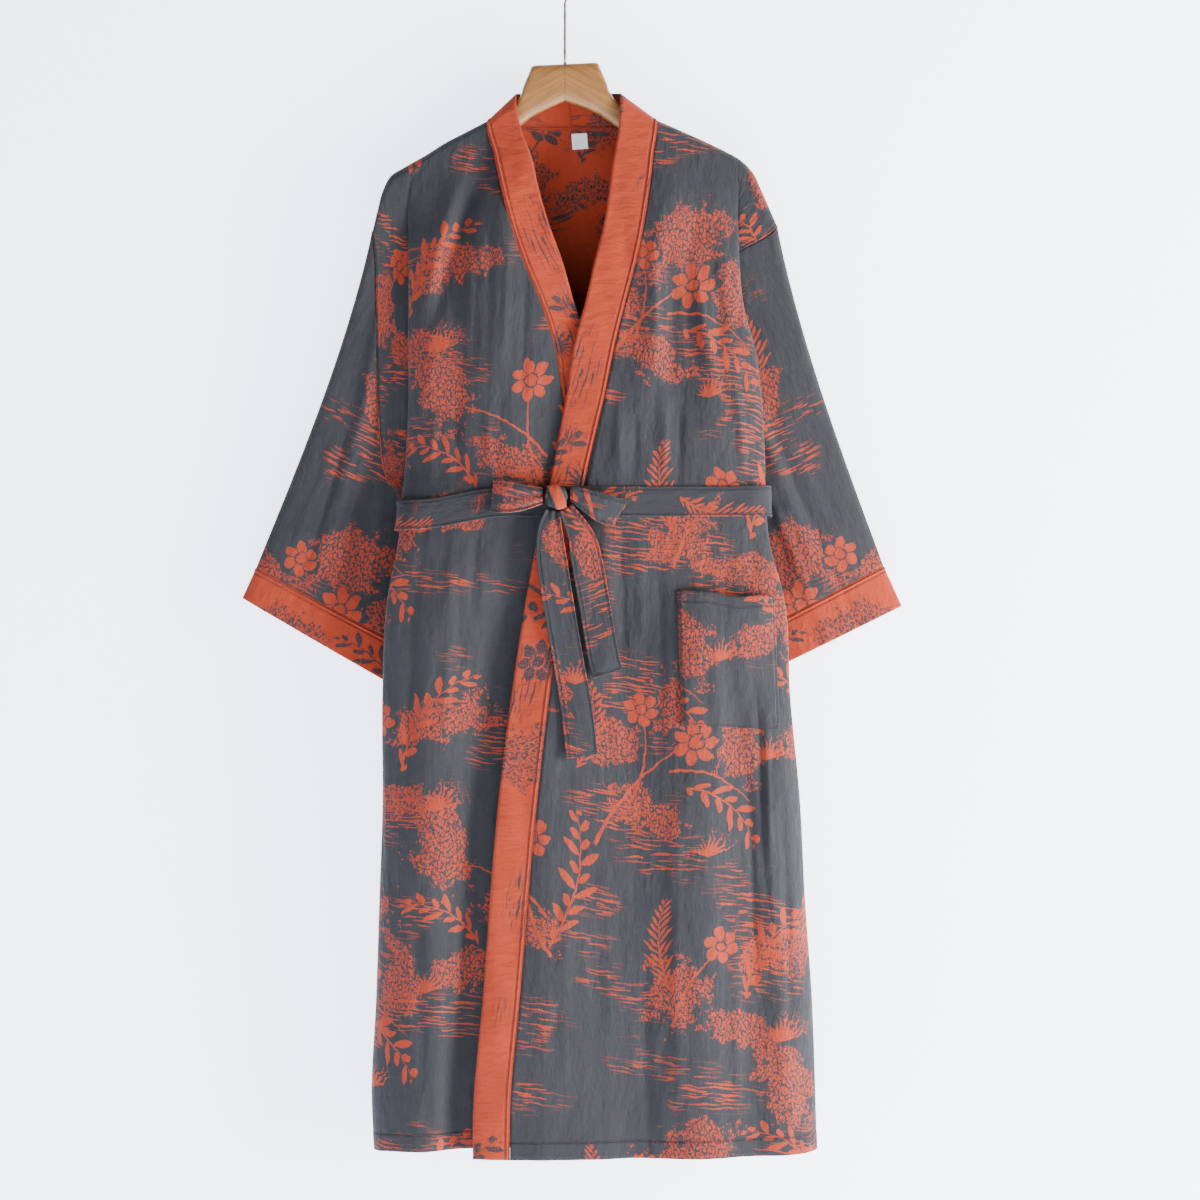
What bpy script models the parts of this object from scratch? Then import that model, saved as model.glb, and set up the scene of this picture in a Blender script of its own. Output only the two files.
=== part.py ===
"""A kimono robe of double gauze, tied with a sash, hanging on a wooden hanger.

Metres, +Z up. The robe faces -Y and its left sleeve is at +X. The origin is the top of the
inside of the hook, where it bears on what holds it up. Sizes below are in millimetres, and
"down" is a distance below the origin.
"""

import math

import bpy
import numpy as np

# Finishes: colour, roughness and metallic.
FACE = ((0.075, 0.085, 0.095), 0.9, 0.0)
REVERSE = ((0.45, 0.09, 0.045), 0.9, 0.0)
WOOD = ((0.45, 0.27, 0.11), 0.45, 0.0)
STEEL = ((0.35, 0.32, 0.27), 0.35, 1.0)
WHITE = ((0.8, 0.79, 0.75), 0.9, 0.0)

MM = 0.001
WALL = 1.4
LABEL_WALL = 0.8
SEAM_GAP = 0.4
TURNED_GAP = 0.9
LAYER_GAP = 0.6
SQUARENESS = 0.77

# The body, a row for each section: the widest points to the left and right, the depth (y)
# of the side seam, of the middle of the front and of the middle of the back, how far the
# back is tucked in beside its middle, the angle at which each front turns back to its seam,
# and the flat strip that stands out beyond the right front's fold.
SECTION_COLUMNS = (
    "down", "left", "right", "side", "front", "back", "tuck", "turn_left", "turn_right", "strip",
)
SECTIONS = (
    (190, -178, 198, 0, -20, 24, 0.9, 90, 90, 39),
    (310, -178, 198, 1, -31, 29, 0.9, 95, 90, 39),
    (345, -178, 198, 4, -34, 31, 1.0, 112, 90, 38),
    (400, -178, 203, 6, -38, 32, 1.0, 116, 90, 37),
    (450, -178, 216, 7, -41, 33, 1.0, 125, 90, 36),
    (506, -178, 223, 7, -44, 33, 1.1, 128, 90, 35),
    (552, -180, 226, 5, -47, 32, 1.2, 129, 90, 30),
    (580, -182, 227, 0, -48, 30, 1.3, 129, 90, 25),
    (596, -183, 227, -5, -49, 28, 1.4, 129, 91, 19),
    (612, -184, 228, -12, -50, 27, 1.5, 127, 92, 7),
    (630, -184, 228, -19, -51, 26, 1.5, 124, 94, 0),
    (660, -187, 230, -26, -53, 26, 1.5, 118, 96, 0),
    (733, -200, 248, -31, -56, 28, 1.5, 108, 96, 0),
    (846, -206, 255, -27, -60, 30, 1.4, 101, 94, 0),
    (959, -206, 266, -20, -64, 32, 1.0, 96, 92, 0),
    (1072, -210, 272, -16, -66, 34, 0.9, 96, 91, 0),
    (1186, -214, 280, -14, -68, 36, 0.9, 96, 90, 0),
    (1299, -219, 284, -14, -69, 38, 0.9, 96, 90, 0),
    (1372, -215, 286, -14, -69, 38, 0.9, 96, 90, 0),
)

# The band's two edges on each front: its seam and its free inner edge, across at each height.
EDGE_COLUMNS = ("down", "over_seam", "over_inner", "under_seam", "under_inner")
EDGES = (
    (185, 104, 60, -88, -43),
    (255, 98, 52, -75, -32),
    (303, 91, 45, -63, -19),
    (348, 82, 34, -48, -3),
    (393, 70, 24, -29, 10),
    (438, 59, 12, -14, 25),
    (506, 45, 1, -2, 41),
    (597, 24, -16, 15, 58),
    (687, 8, -35, 27, 70),
    (801, -11, -54, 40, 83),
    (959, -30, -74, 54, 97),
    (1186, -50, -92, 68, 111),
    (1299, -60, -102, 74, 117),
    (1372, -61, -103, 77, 120),
)

# The shoulder lines, from the neck along the hanger's arm and down past its end.
SHOULDER_COLUMNS = ("across", "down")
SHOULDER_LEFT = (
    (105, 186), (137, 200), (159, 210), (182, 221), (201, 232), (215, 247),
    (223, 264), (231, 282), (241, 305),
)
SHOULDER_RIGHT = (
    (-89, 187), (-114, 200), (-137, 212), (-159, 226), (-182, 239), (-199, 250),
    (-207, 265), (-213, 287), (-219, 312),
)
HEM_COLUMNS = ("across", "over", "under", "back")
HEMS = (
    (-220, 1359, 1356, 1358),
    (-160, 1359, 1353, 1360),
    (-100, 1360, 1345, 1361),
    (-20, 1364, 1344, 1361),
    (70, 1363, 1344, 1361),
    (180, 1359, 1344, 1359),
    (290, 1353, 1344, 1355),
)

# Large soft folds of the cloth: where each starts and ends, its half-width and its height.
# A ridge is positive and a valley negative.
FOLD_COLUMNS = ("x_top", "down_top", "x_low", "down_low", "half_width", "height")
FRONT_FOLDS = (
    (-98, 215, -150, 470, 18, -5),
    (-120, 235, -162, 560, 16, 4),
    (-66, 240, -96, 560, 22, 5),
    (118, 230, 88, 560, 22, 5),
    (150, 240, 132, 560, 18, -4),
    (-14, 700, -24, 1372, 20, 4),
    (70, 690, 78, 1372, 38, -8),
    (150, 690, 157, 1372, 32, 7),
    (200, 800, 210, 1372, 26, -4),
    (240, 880, 250, 1372, 18, 4),
    (-150, 680, -160, 1372, 28, 6),
    (-98, 700, -122, 1372, 26, -6),
)
BACK_FOLDS = (
    (-120, 260, -130, 1372, 28, 5),
    (-60, 330, -70, 1372, 28, -5),
    (8, 300, 10, 1372, 32, 6),
    (84, 330, 92, 1372, 28, -5),
    (140, 260, 160, 1372, 28, 5),
)
FOLD_FADE = 90
BELT_DOWN = 622
BELT_SMOOTHING = 45

CREST_RADIUS = 10.3
DRAPE_LENGTH = 110
COLUMN_SETTLE = 40
UNDER_INSET = 5.5
ARMPIT_DOWN = 592
ARMHOLE_OPEN = 31
NECK_CORNER = 9.6
NECK_DEPTH = 26
NECK_REACH = 0.5
BAND_RISE = 31
BAND_RISE_REACH = 90
# The collar's free edge: across at the right and left, and down and depth at the back.
COLLAR = {"right": -56, "left": 63, "back_down": 151, "depth": 24}

# Rows of the cloth: as shares of the armhole, then even steps to the hem.
ARMHOLE_STEPS = 10
SKIRT_ROWS = 18
# Columns of a front, the one on which the fold at its side lies, and how far along the
# shoulder that column starts.
FRONT_COLUMNS = 16
FOLD_COLUMN = 12
FOLD_TOP = 0.5
BACK_COLUMNS = 10
NECK_COLUMNS = 8

# Each sleeve hangs from the armhole to its cuff seam. The outer and inner ends of the cuff
# seam and of the cuff's free edge are (across, down, y).
SLEEVES = {
    "left": {
        "seam": ((364, 694, 10), (182, 788, 16)),
        "edge": ((385, 740, 10), (204, 829, 16)),
        "bow": -9,
    },
    "right": {
        "seam": ((-353, 696, 10), (-176, 790, 16)),
        "edge": ((-369, 731, 10), (-195, 832, 16)),
        "bow": 10,
    },
}
SLEEVE_RINGS = 9
SLEEVE_HALF_DEPTH = 14
SLEEVE_FOLDS = (
    # place round the front from the outer fold (0) to the underarm (1), half-width, height
    (0.34, 0.09, -4),
    (0.62, 0.10, -3),
)

POCKET = {"left": 127, "right": 235, "top": 722, "bottom": 873, "lean": 0.04, "slope": 0.06}
POCKET_STEPS = 9
POCKET_GAP = 0.95
POCKET_BULGE = 9
LABEL = {"left": 7, "right": 25, "top": 3.5, "height": 18}

BELT_WIDTH = 34
BELT_GAP = 0.8
BELT_SIDE_SAG = 16
BELT_TAIL_WALL = 2.0
# The hanging ends: the middle line across and down, how far it lies off the robe, and half
# the width of the strip, all from the knot to the end.
TAIL_COLUMNS = ("across", "down", "lift", "half_width")
TAIL_SHORT = (
    (1.6, 629.9, 12, 8),
    (18, 660, 11, 14.5),
    (25, 688, 9, 17.5),
    (35, 744, 7, 17.5),
    (44, 798, 6, 17.5),
    (49, 816, 6, 17.5),
)
TAIL_LONG = (
    (-14, 632.6, 11, 8),
    (-22, 656, 12, 11),
    (-17, 688, 11, 16.5),
    (-6, 744, 9, 17),
    (4.5, 801, 7, 17),
    (14, 857, 6, 17.5),
    (20, 909, 6, 17.5),
)
KNOT = {"across": -9, "down": 617, "half": (15, 9, 15)}
# The bow's two loops, from the knot outwards: the middle line, half the height of the strip,
# half the depth between its layers and how far its lower edge falls short of the upper.
LOOP_COLUMNS = ("across", "down", "half_height", "half_depth", "lean")
LOOP_RIGHT = (
    (-24.6, 616, 9, 3.4, 0), (-48, 618, 15, 5.2, 1), (-68, 617, 18, 6.2, 1.5), (-81, 616, 18, 3.4, 2),
)
LOOP_LEFT = (
    (6.6, 613, 8, 3.4, 0), (24, 621, 12, 5.2, 3), (43, 630, 15, 5.6, 6), (62, 636, 15, 3.2, 8),
)
LOOP_LIFT = 10

# The hanger: half of its front outline, from the middle out, and its thickness.
HANGER_COLUMNS = ("across", "top", "bottom", "half_depth")
HANGER = (
    (0, 121, 163, 8), (20, 121, 171, 8), (36, 121.4, 178.5, 8), (40, 127, 181, 8),
    (44, 136, 184, 8), (48, 146, 187, 8), (51, 155, 189, 8), (60, 168, 196, 8),
    (72, 178, 203, 8), (88, 187.6, 211, 8), (104, 195.5, 218.5, 8), (136, 211, 233, 8),
    (160, 224, 245, 8), (181, 236, 254, 8), (190, 242, 256, 7), (195, 246, 254, 5),
)
HANGER_TILT = 0.046
HANGER_ROUND = 16
HANGER_SQUARENESS = 0.6
HOOK_WIRE = 1.7
HOOK_INSIDE = 20
HOOK_SHANK_TOP = 56
HOOK_END_ANGLE = 205


def table(rows, columns):
    """A table's rows as named columns."""
    return dict(zip(columns, np.array(rows, float).T))


SECTION = table(SECTIONS, SECTION_COLUMNS)
EDGE = table(EDGES, EDGE_COLUMNS)
HEM = table(HEMS, HEM_COLUMNS)


def spline(places, values, at):
    """A smooth curve through values at places: a cubic between each two of them, whose
    slopes come from the neighbours."""
    places, values = np.asarray(places, float), np.asarray(values, float)
    slopes = np.gradient(values, places)
    at = np.clip(at, places[0], places[-1])
    row = np.clip(np.searchsorted(places, at) - 1, 0, len(places) - 2)
    step = places[row + 1] - places[row]
    share = (at - places[row]) / step
    rest = 1 - share
    ends = values[row] * (1 + 2 * share) * rest**2 + values[row + 1] * share**2 * (3 - 2 * share)
    return ends + step * share * rest * (slopes[row] * rest - slopes[row + 1] * share)


def section(name, down):
    return spline(SECTION["down"], SECTION[name], down)


def edge(name, down):
    return spline(EDGE["down"], EDGE[name], down)


def ease(value):
    """A smooth step from 0 to 1."""
    value = np.clip(value, 0, 1)
    return value * value * (3 - 2 * value)


def mix(first, second, share):
    return first + (second - first) * share


def squared(value):
    """A signed power, which squares off an ellipse."""
    return np.sign(value) * np.abs(value) ** SQUARENESS


def folds(rows, x, down):
    """The height of all the soft folds: a bell across each one, which fades in at its ends
    and under the belt."""
    total = np.zeros(np.broadcast(x, down).shape)
    for x_top, down_top, x_low, down_low, half_width, height in rows:
        share = (down - down_top) / (down_low - down_top)
        middle = mix(x_top, x_low, np.clip(share, 0, 1))
        length = ease((down - down_top) / FOLD_FADE)
        if down_low < HEM["over"].min():
            length = length * ease((down_low - down) / FOLD_FADE)
        total = total + height * length * np.exp(-(((x - middle) / half_width) ** 2))
    belt = 1 - 0.9 * np.exp(-(((down - BELT_DOWN) / BELT_SMOOTHING) ** 2))
    return total * belt


def armhole_gap(down):
    """How far the front and back edges stand apart at the armhole."""
    top = SHOULDER_LEFT[-1][1] + 2
    share = np.clip((down - top) / (ARMPIT_DOWN - top), 0, 1)
    return ARMHOLE_OPEN * np.sin(math.pi * share) ** 0.75


def body_halves(down):
    """The middle and the half-width of the body's section."""
    left, right = section("left", down), section("right", down)
    return (left + right) / 2, (right - left) / 2


def flap_gap(down):
    """How far the fronts and the back stand from the middle of the side seam."""
    flat = ease(section("strip", down) / 5) * ease((down - 345) / 100)
    return TURNED_GAP / 2 + 0.5 * flat


def turn_back(sign, down):
    """The angle round the section at which a front ends at its seam."""
    return np.radians(np.where(sign > 0, section("turn_left", down), section("turn_right", down)))


def front_depths(sign, down):
    """The depth of the widest point of the front, and how far the middle lies before it."""
    seam = section("side", down) - armhole_gap(down) / 2
    turned = np.abs(np.cos(turn_back(sign, down))) ** SQUARENESS
    depth = (seam - section("front", down)) / (1 + turned)
    return seam - turned * depth, depth


def front_y(x, down, folded=True):
    """Depth of the front of the robe at (x, down)."""
    middle, half = body_halves(down)
    widest, depth = front_depths(x - middle, down)
    reach = np.clip(np.abs(x - middle) / half, 0, 1)
    facing = np.sqrt(1 - reach ** (2 / SQUARENESS))
    smooth = widest - depth * facing**SQUARENESS
    if not folded:
        return smooth
    return smooth - folds(FRONT_FOLDS, x, down) * ease(facing * 3)


def under_inset(x, down):
    """How far the under front lies behind the over one, from just before its edge."""
    return UNDER_INSET * ease((x - edge("over_inner", down) + 60) / 50)


def front_angle(x, down):
    """The angle round the section at which the front has that x."""
    middle, half = body_halves(down)
    reach = np.clip((x - middle) / half, -1, 1)
    return np.arcsin(np.sign(reach) * np.abs(reach) ** (1 / SQUARENESS))


def front_section(sign, layer, across, down):
    """(x, y) of a front between its band's seam, 0, and its side seam, 1. Along the armhole
    the fold at the side stays on one column, and the cloth beyond it turns back or, on the
    right front, stands out as a flat strip."""
    start = front_angle(edge(layer + "_seam", down), down)
    quarter, end = sign * math.pi / 2, sign * turn_back(sign, down)
    before, beyond = np.clip(across / FOLD_SHARE, 0, 1), fold_excess(across)
    bent = mix(start, quarter, before) + (end - quarter) * beyond
    angle = mix(bent, mix(start, end, across), ease((down - 640) / 500))
    middle, half = body_halves(down)
    widest, depth = front_depths(sign, down)
    x = middle + half * squared(np.sin(angle))
    y = widest - depth * squared(np.cos(angle))
    y = y - folds(FRONT_FOLDS, x, down) * ease(np.cos(angle) * 3)
    if sign < 0:
        x = x - section("strip", down) * beyond
    return x, y


def fold_excess(across):
    return np.clip((across - FOLD_SHARE) / (1 - FOLD_SHARE), 0, 1)


def seam_x(sign, down):
    """Across of the side seam."""
    layer = "over" if sign > 0 else "under"
    return front_section(sign, layer, np.ones_like(down), down)[0]


def back_y(x, down):
    """Depth of the back at (x, down), below the shoulders."""
    right, left = seam_x(-1, down), seam_x(1, down)
    middle, half = (left + right) / 2, (left - right) / 2
    reach = np.clip((x - middle) / half, -1, 1)
    bulge = (1 - reach**2) ** section("tuck", down)
    seam = section("side", down) + armhole_gap(down) / 2
    wave = folds(BACK_FOLDS, x, down) * ease((1 - np.abs(reach)) * 5)
    return seam + (section("back", down) - seam) * bulge + wave


def shoulder(side, share):
    """(x, down) along a shoulder line, from the neck to the top of the armhole."""
    rows = np.array(SHOULDER_LEFT if side == "left" else SHOULDER_RIGHT, float)
    run = np.concatenate([[0], np.cumsum(np.hypot(*np.diff(rows, axis=0).T))])
    return spline(run, rows[:, 0], share * run[-1]), spline(run, rows[:, 1], share * run[-1])


def over_crest(fall):
    """Depth of cloth that rounds over the hanger's arm, fall below its top."""
    share = np.clip(fall / CREST_RADIUS, 0, 1)
    return CREST_RADIUS * np.sqrt(1 - (1 - share) ** 2)


def crest_fall(depth):
    """How far below the arm's top the rounded cloth has that depth."""
    return CREST_RADIUS - np.sqrt(CREST_RADIUS**2 - depth**2)


def drape(y, fall, side):
    """Depth of cloth that first rounds over the arm, to its front, -1, or its back, 1, and
    then falls away to the depth y."""
    share = ease((fall - 4) / DRAPE_LENGTH)
    return side * over_crest(fall) + (y - side * CREST_RADIUS) * share


def row_shares():
    """Shares of the way from the shoulder to the hem at which the rows of cloth lie."""
    length = HEM["over"][-1] - SHOULDER_LEFT[-1][1]
    armhole = (ARMPIT_DOWN - SHOULDER_LEFT[-1][1]) / length
    turn = np.linspace(0, math.pi, ARMHOLE_STEPS + 1)
    upper = armhole * (1 - np.cos(turn)) / 2
    upper = np.insert(upper, 1, upper[1] * 0.35)
    skirt = np.linspace(armhole, 1, SKIRT_ROWS + 1)[1:]
    return np.concatenate([upper, skirt]), len(upper)


ROWS, ARMHOLE_ROWS = row_shares()
COLUMNS = np.linspace(0, 1, FRONT_COLUMNS + 1)
FOLD_SHARE = FOLD_COLUMN / FRONT_COLUMNS
NECK_SHARE = NECK_COLUMNS / (NECK_COLUMNS + 2 * BACK_COLUMNS)
ACROSS_BACK = np.linspace(-1, 1, 2 * BACK_COLUMNS + NECK_COLUMNS + 1)


def front_points(side, across, rows):
    """The front panel of one side as a grid of points: across runs from the band's seam, 0,
    to the side seam, 1, and rows from the shoulder, 0, to the hem, 1."""
    across, rows = np.meshgrid(across, rows)
    layer, sign = ("over", 1) if side == "left" else ("under", -1)
    before = np.clip(across / FOLD_SHARE, 0, 1)
    top_x, top_down = shoulder(side, mix(FOLD_TOP * before, 1, fold_excess(across)))
    hem = spline(HEM["across"], HEM[layer], top_x * 1.15)
    down = mix(top_down, hem, rows)
    fall = down - top_down
    x, y = front_section(sign, layer, across, down)
    x = mix(top_x, x, ease(fall / COLUMN_SETTLE))
    if layer == "under":
        y = y + under_inset(x, down)
    y = drape(y, fall, -1) - flap_gap(down)
    return np.stack([x, y, -down], -1)


def neck_line(side_x, middle_x, share, depth):
    """(x, y) of a line round the back of the neck: share runs from 1 at the shoulder, back
    over the arm at 0.75, and round to 0 at the middle."""
    turn = np.clip(share / 0.75, 0, 1) * math.pi / 2
    corner = NECK_CORNER * np.clip((1 - share) / 0.25, 0, 1)
    x = middle_x + (side_x - middle_x) * np.sin(turn)
    return x, corner + (depth - NECK_CORNER) * np.cos(turn) ** 0.8 * (share < 0.75)


def back_points(across, rows):
    """The back as a grid of points: across runs from -1 at the right side seam to 1 at the
    left one, with the neck between -NECK_SHARE and NECK_SHARE."""
    across, rows = np.meshgrid(across, rows)
    outer = np.clip((np.abs(across) - NECK_SHARE) / (1 - NECK_SHARE), 0, 1)
    neck = np.clip(across / NECK_SHARE, -1, 1)
    on_left = across > 0
    left, right = shoulder("left", outer), shoulder("right", outer)
    side_x, side_down = np.where(on_left, left[0], right[0]), np.where(on_left, left[1], right[1])
    middle_x = (SHOULDER_LEFT[0][0] + SHOULDER_RIGHT[0][0]) / 2
    top_x, top_y = neck_line(side_x, middle_x, np.abs(neck), NECK_DEPTH)
    on_crest = crest_fall(np.minimum(top_y, NECK_CORNER))
    top_down = side_down + on_crest
    hem = spline(HEM["across"], HEM["back"], top_x)
    down = mix(top_down, hem, rows)
    fall = down - top_down
    edge_right, edge_left = seam_x(-1, down), seam_x(1, down)
    middle, half = (edge_right + edge_left) / 2, (edge_left - edge_right) / 2 - TURNED_GAP
    reach = neck * NECK_REACH + np.sign(across) * (1 - NECK_REACH) * outer
    x = mix(top_x, middle + half * reach, ease(fall / COLUMN_SETTLE))
    y = back_y(x, down)
    beyond = np.maximum(top_y - NECK_CORNER, 0) * (1 - ease(fall / DRAPE_LENGTH))
    y = drape(y, fall + on_crest, 1) + beyond + flap_gap(down)
    return np.stack([x, y, -down], -1)


def normals(points, closed=False):
    """Unit normals of a grid of points: across the rows, crossed with down the columns."""
    if closed:
        wrapped = np.concatenate([points[:, -1:], points, points[:, :1]], 1)
        along = np.gradient(wrapped, axis=1)[:, 1:-1]
    else:
        along = np.gradient(points, axis=1)
    turned = np.cross(along, np.gradient(points, axis=0))
    return turned / np.linalg.norm(turned, axis=2, keepdims=True)


def slice_at(grid, downs):
    """Where each column of a grid comes to its own distance down."""
    return np.array([
        [np.interp(down, -column[:, 2], column[:, axis]) for axis in (0, 1)] + [-down]
        for column, down in zip(grid.transpose(1, 0, 2), downs)
    ])


def on_grid(grid, x, down):
    """Points of a cloth's grid at places (x, down)."""
    found = np.empty(x.shape + (3,))
    for place in np.ndindex(x.shape):
        line = slice_at(grid, np.full(grid.shape[1], down[place]))
        order = np.argsort(line[:, 0])
        depth = np.interp(x[place], line[order, 0], line[order, 1])
        found[place] = x[place], depth, -down[place]
    return found


def band_points(side):
    """A front's band with its half of the collar: rows from the hem up over the shoulder to
    the middle of the back, and 3 points across, from the seam to the free edge."""
    layer, sign = ("over", 1) if side == "left" else ("under", -1)
    panel = front_points(side, np.zeros(1), ROWS)[:, 0]
    down = -panel[:, 2]
    fall = down - down[0]
    inner_down = down - BAND_RISE * np.clip(1 - fall / BAND_RISE_REACH, 0, 1) ** 1.5
    settled = ease(fall / BAND_RISE_REACH)
    inner_x = mix(COLLAR[side], edge(layer + "_inner", inner_down), ease(fall / 60))
    flat = front_y(inner_x, inner_down)
    if layer == "under":
        flat = flat + under_inset(inner_x, inner_down)
    inner_y = mix(-1.2 * over_crest(fall), flat, settled) - TURNED_GAP / 2
    inner = np.stack([inner_x, inner_y, -inner_down], -1)

    turn = np.linspace(1, 0, NECK_COLUMNS // 2 + 1)[1:]
    seam_back = back_points(sign * turn * NECK_SHARE, np.zeros(1))[0]
    middle_x = (COLLAR["left"] + COLLAR["right"]) / 2
    top_x, top_y = neck_line(COLLAR[side], middle_x, turn, COLLAR["depth"])
    top_down = mix(COLLAR["back_down"], inner_down[0], turn**2)
    top_edge = np.stack([top_x, top_y, -top_down], -1)

    seam = np.concatenate([panel[::-1], seam_back])
    free = np.concatenate([inner[::-1], top_edge])
    grid = seam[:, None] + (free - seam)[:, None] * np.linspace(0, 1, 3)[None, :, None]
    middle_down = -grid[:len(panel), 1, 2]
    middle_y = front_y(grid[:len(panel), 1, 0], middle_down) - TURNED_GAP / 2
    if layer == "under":
        middle_y = middle_y + under_inset(grid[:len(panel), 1, 0], middle_down)
    grid[:len(panel), 1, 1] = mix(grid[:len(panel), 1, 1], middle_y, settled[::-1])
    across = free - seam
    across = across / np.linalg.norm(across, axis=1, keepdims=True)
    standing = np.concatenate([1 - settled[::-1], turn])
    grid[:, 0] += across * mix(SEAM_GAP, 2.6 * TURNED_GAP, standing)[:, None]
    grid[-1, :, 0] += sign * SEAM_GAP / 2
    return grid


def sleeve_start(side):
    """The armhole as a ring of points: down the front's edge and up the back's. Where the
    front turns back, the sleeve leaves from behind it."""
    sign = 1 if side == "left" else -1
    rows = ROWS[:ARMHOLE_ROWS]
    front = front_points(side, np.ones(1), rows)[:, 0]
    back = back_points(np.array([float(sign)]), rows)[:, 0]
    turned = ease((turn_back(sign, -front[:, 2]) - math.pi / 2) / math.radians(14))[:, None]
    beside, behind = np.array((sign * TURNED_GAP, 0, 0)), np.array((0, WALL + SEAM_GAP, 0))
    nearer = 1 + np.linspace(0, 1, len(rows))[:, None] ** 2
    top = (front[0] + back[0]) / 2 + beside
    bottom = (front[-1] + back[-1]) / 2 + 2 * beside + behind - (0, 0, 1)
    front = front + beside * (1 - turned / 2) + behind * turned
    back = back + beside * nearer
    return np.concatenate([[top], front[1:-1], [bottom], back[-2:0:-1]])


def cuff_ring(ends):
    """A flat loop from the outer end to the inner end and back, as deep as the sleeve."""
    outer, inner = (np.array((x, y, -down), float) for x, down, y in ends)
    rows = ROWS[:ARMHOLE_ROWS] / ROWS[ARMHOLE_ROWS - 1]
    share = np.concatenate([rows, rows[-2:0:-1]])
    front = np.arange(len(share)) < len(rows)
    ring = mix(outer, inner, share[:, None])
    turn = np.arccos(1 - 2 * np.clip(share, 0, 1))
    ring[:, 1] += np.where(front, -1, 1) * SLEEVE_HALF_DEPTH * np.sin(turn)
    return ring, share, front


def sleeve_points(side):
    """The sleeve: rings from the armhole to the cuff seam. Each point runs straight from its
    place on the armhole to its place on the cuff, but the outer fold bows in and the cloth
    by the underarm soon falls behind the body."""
    start = sleeve_start(side)
    end, share, front = cuff_ring(SLEEVES[side]["seam"])
    along = np.linspace(0, 1, SLEEVE_RINGS + 1)[:, None]
    points = mix(start, end, along[..., None])
    settled = 1 - (1 - along) ** (1 + 2.5 * share**2)
    points[..., 1] = mix(start[:, 1], end[:, 1], settled)
    points[..., 0] += SLEEVES[side]["bow"] * np.sin(math.pi * along**0.8) * (1 - share)
    swell = np.sin(math.pi * along) * np.sin(math.pi * share)
    points[..., 1] += np.where(front, 0, 6) * swell
    for middle, half_width, height in SLEEVE_FOLDS:
        fold = height * np.exp(-(((share - middle) / half_width) ** 2))
        points[..., 1] -= np.where(front, fold, -fold) * ease(along * 2.2) * np.sin(math.pi * share)
    return points


def cuff_points(side):
    """The cuff: three rings from just past the sleeve's last one to its free edge."""
    last = sleeve_points(side)[-1]
    run = cuff_ring(SLEEVES[side]["edge"])[0] - cuff_ring(SLEEVES[side]["seam"])[0]
    first = last + run / np.linalg.norm(run, axis=1, keepdims=True) * TURNED_GAP
    return first + (last + run - first) * np.linspace(0, 1, 3)[:, None, None]


def pocket_points():
    """The patch pocket: a grid on the left front, moved out, and bulging at its mouth."""
    share = np.linspace(0, 1, POCKET_STEPS + 1)
    wide, deep = np.meshgrid(share, share)
    x = mix(POCKET["left"], POCKET["right"], wide)
    down = mix(POCKET["top"], POCKET["bottom"], deep) + (x - POCKET["left"]) * POCKET["slope"]
    x = x + (down - POCKET["top"]) * POCKET["lean"]
    points = on_grid(front_points("left", COLUMNS[: FOLD_COLUMN + 1], ROWS), x, down)
    bulge = POCKET_BULGE * np.sin(math.pi * wide) ** 0.8 * np.cos(deep * math.pi / 2)
    return points - normals(points) * (WALL + POCKET_GAP + bulge)[..., None]


def label_points():
    """The blank size label, on the inside of the back just below the collar's seam."""
    grid = back_points(ACROSS_BACK, ROWS)
    x, fall = np.meshgrid(
        np.linspace(LABEL["left"], LABEL["right"], 3), np.linspace(0, LABEL["height"], 3)
    )
    down = LABEL["top"] - grid[0, len(ACROSS_BACK) // 2, 2] + fall - (x - LABEL["left"]) * 0.06
    points = on_grid(grid, x + fall * 0.08, down)
    return points - np.array((0, (WALL + LABEL_WALL) / 2 + LAYER_GAP, 0))


def belt_middle(x):
    """How far down the middle of the belt lies, sagging to the right side."""
    return BELT_DOWN + BELT_SIDE_SAG * ease((-x - 60) / 120)


def waist(grid, step):
    """Where the columns of a grid cross the belt, step below its middle."""
    level = slice_at(grid, np.full(grid.shape[1], BELT_DOWN))
    return slice_at(grid, belt_middle(level[:, 0]) + step)


def belt_points():
    """The belt round the waist, over the columns of the fronts, the over band and the back,
    moved out from them."""
    left, right = (front_points(side, COLUMNS, ROWS) for side in ("left", "right"))
    back = back_points(ACROSS_BACK, ROWS)
    band = band_points("left")[len(ROWS) - 1 :: -1][:, 1:]
    rings = []
    for step in np.linspace(-0.5, 0.5, 4) * BELT_WIDTH:
        over = waist(band, step)
        beside = over[1:] - (1.5, 0, 0)
        under = waist(right[:, [-1, *range(FOLD_COLUMN, -1, -1)]], step)
        under = under[under[:, 0] < beside[0, 0] - 8]
        behind = waist(back[:, -2:0:-1], step)
        rings.append(np.concatenate([waist(left, step), behind, under, beside, over[::-1]]))
    rings = np.array(rings)
    middle, half = body_halves(BELT_DOWN)
    lift = WALL + BELT_GAP + 4 * ease((np.abs(rings[..., :1] - middle) - half + 50) / 40)
    return rings - normals(rings, closed=True) * lift


def tail_points(rows):
    """A hanging end of the belt: a strip along its middle line, off the front of the robe."""
    row = table(rows, TAIL_COLUMNS)
    run = np.linspace(0, 1, 13)
    places = np.linspace(0, 1, len(rows))
    middle, down, lift, half = (spline(places, row[name], run) for name in TAIL_COLUMNS)
    ahead = np.gradient(np.stack([middle, down], -1), axis=0)
    ahead /= np.linalg.norm(ahead, axis=1, keepdims=True)
    side = np.linspace(-1, 1, 4)[None, :] * half[:, None]
    x = middle[:, None] + ahead[:, 1:] * side
    level = down[:, None] - ahead[:, :1] * side
    y = front_y(x, level, folded=False) - WALL - lift[:, None]
    return np.stack([x, y, -level], -1)


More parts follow.
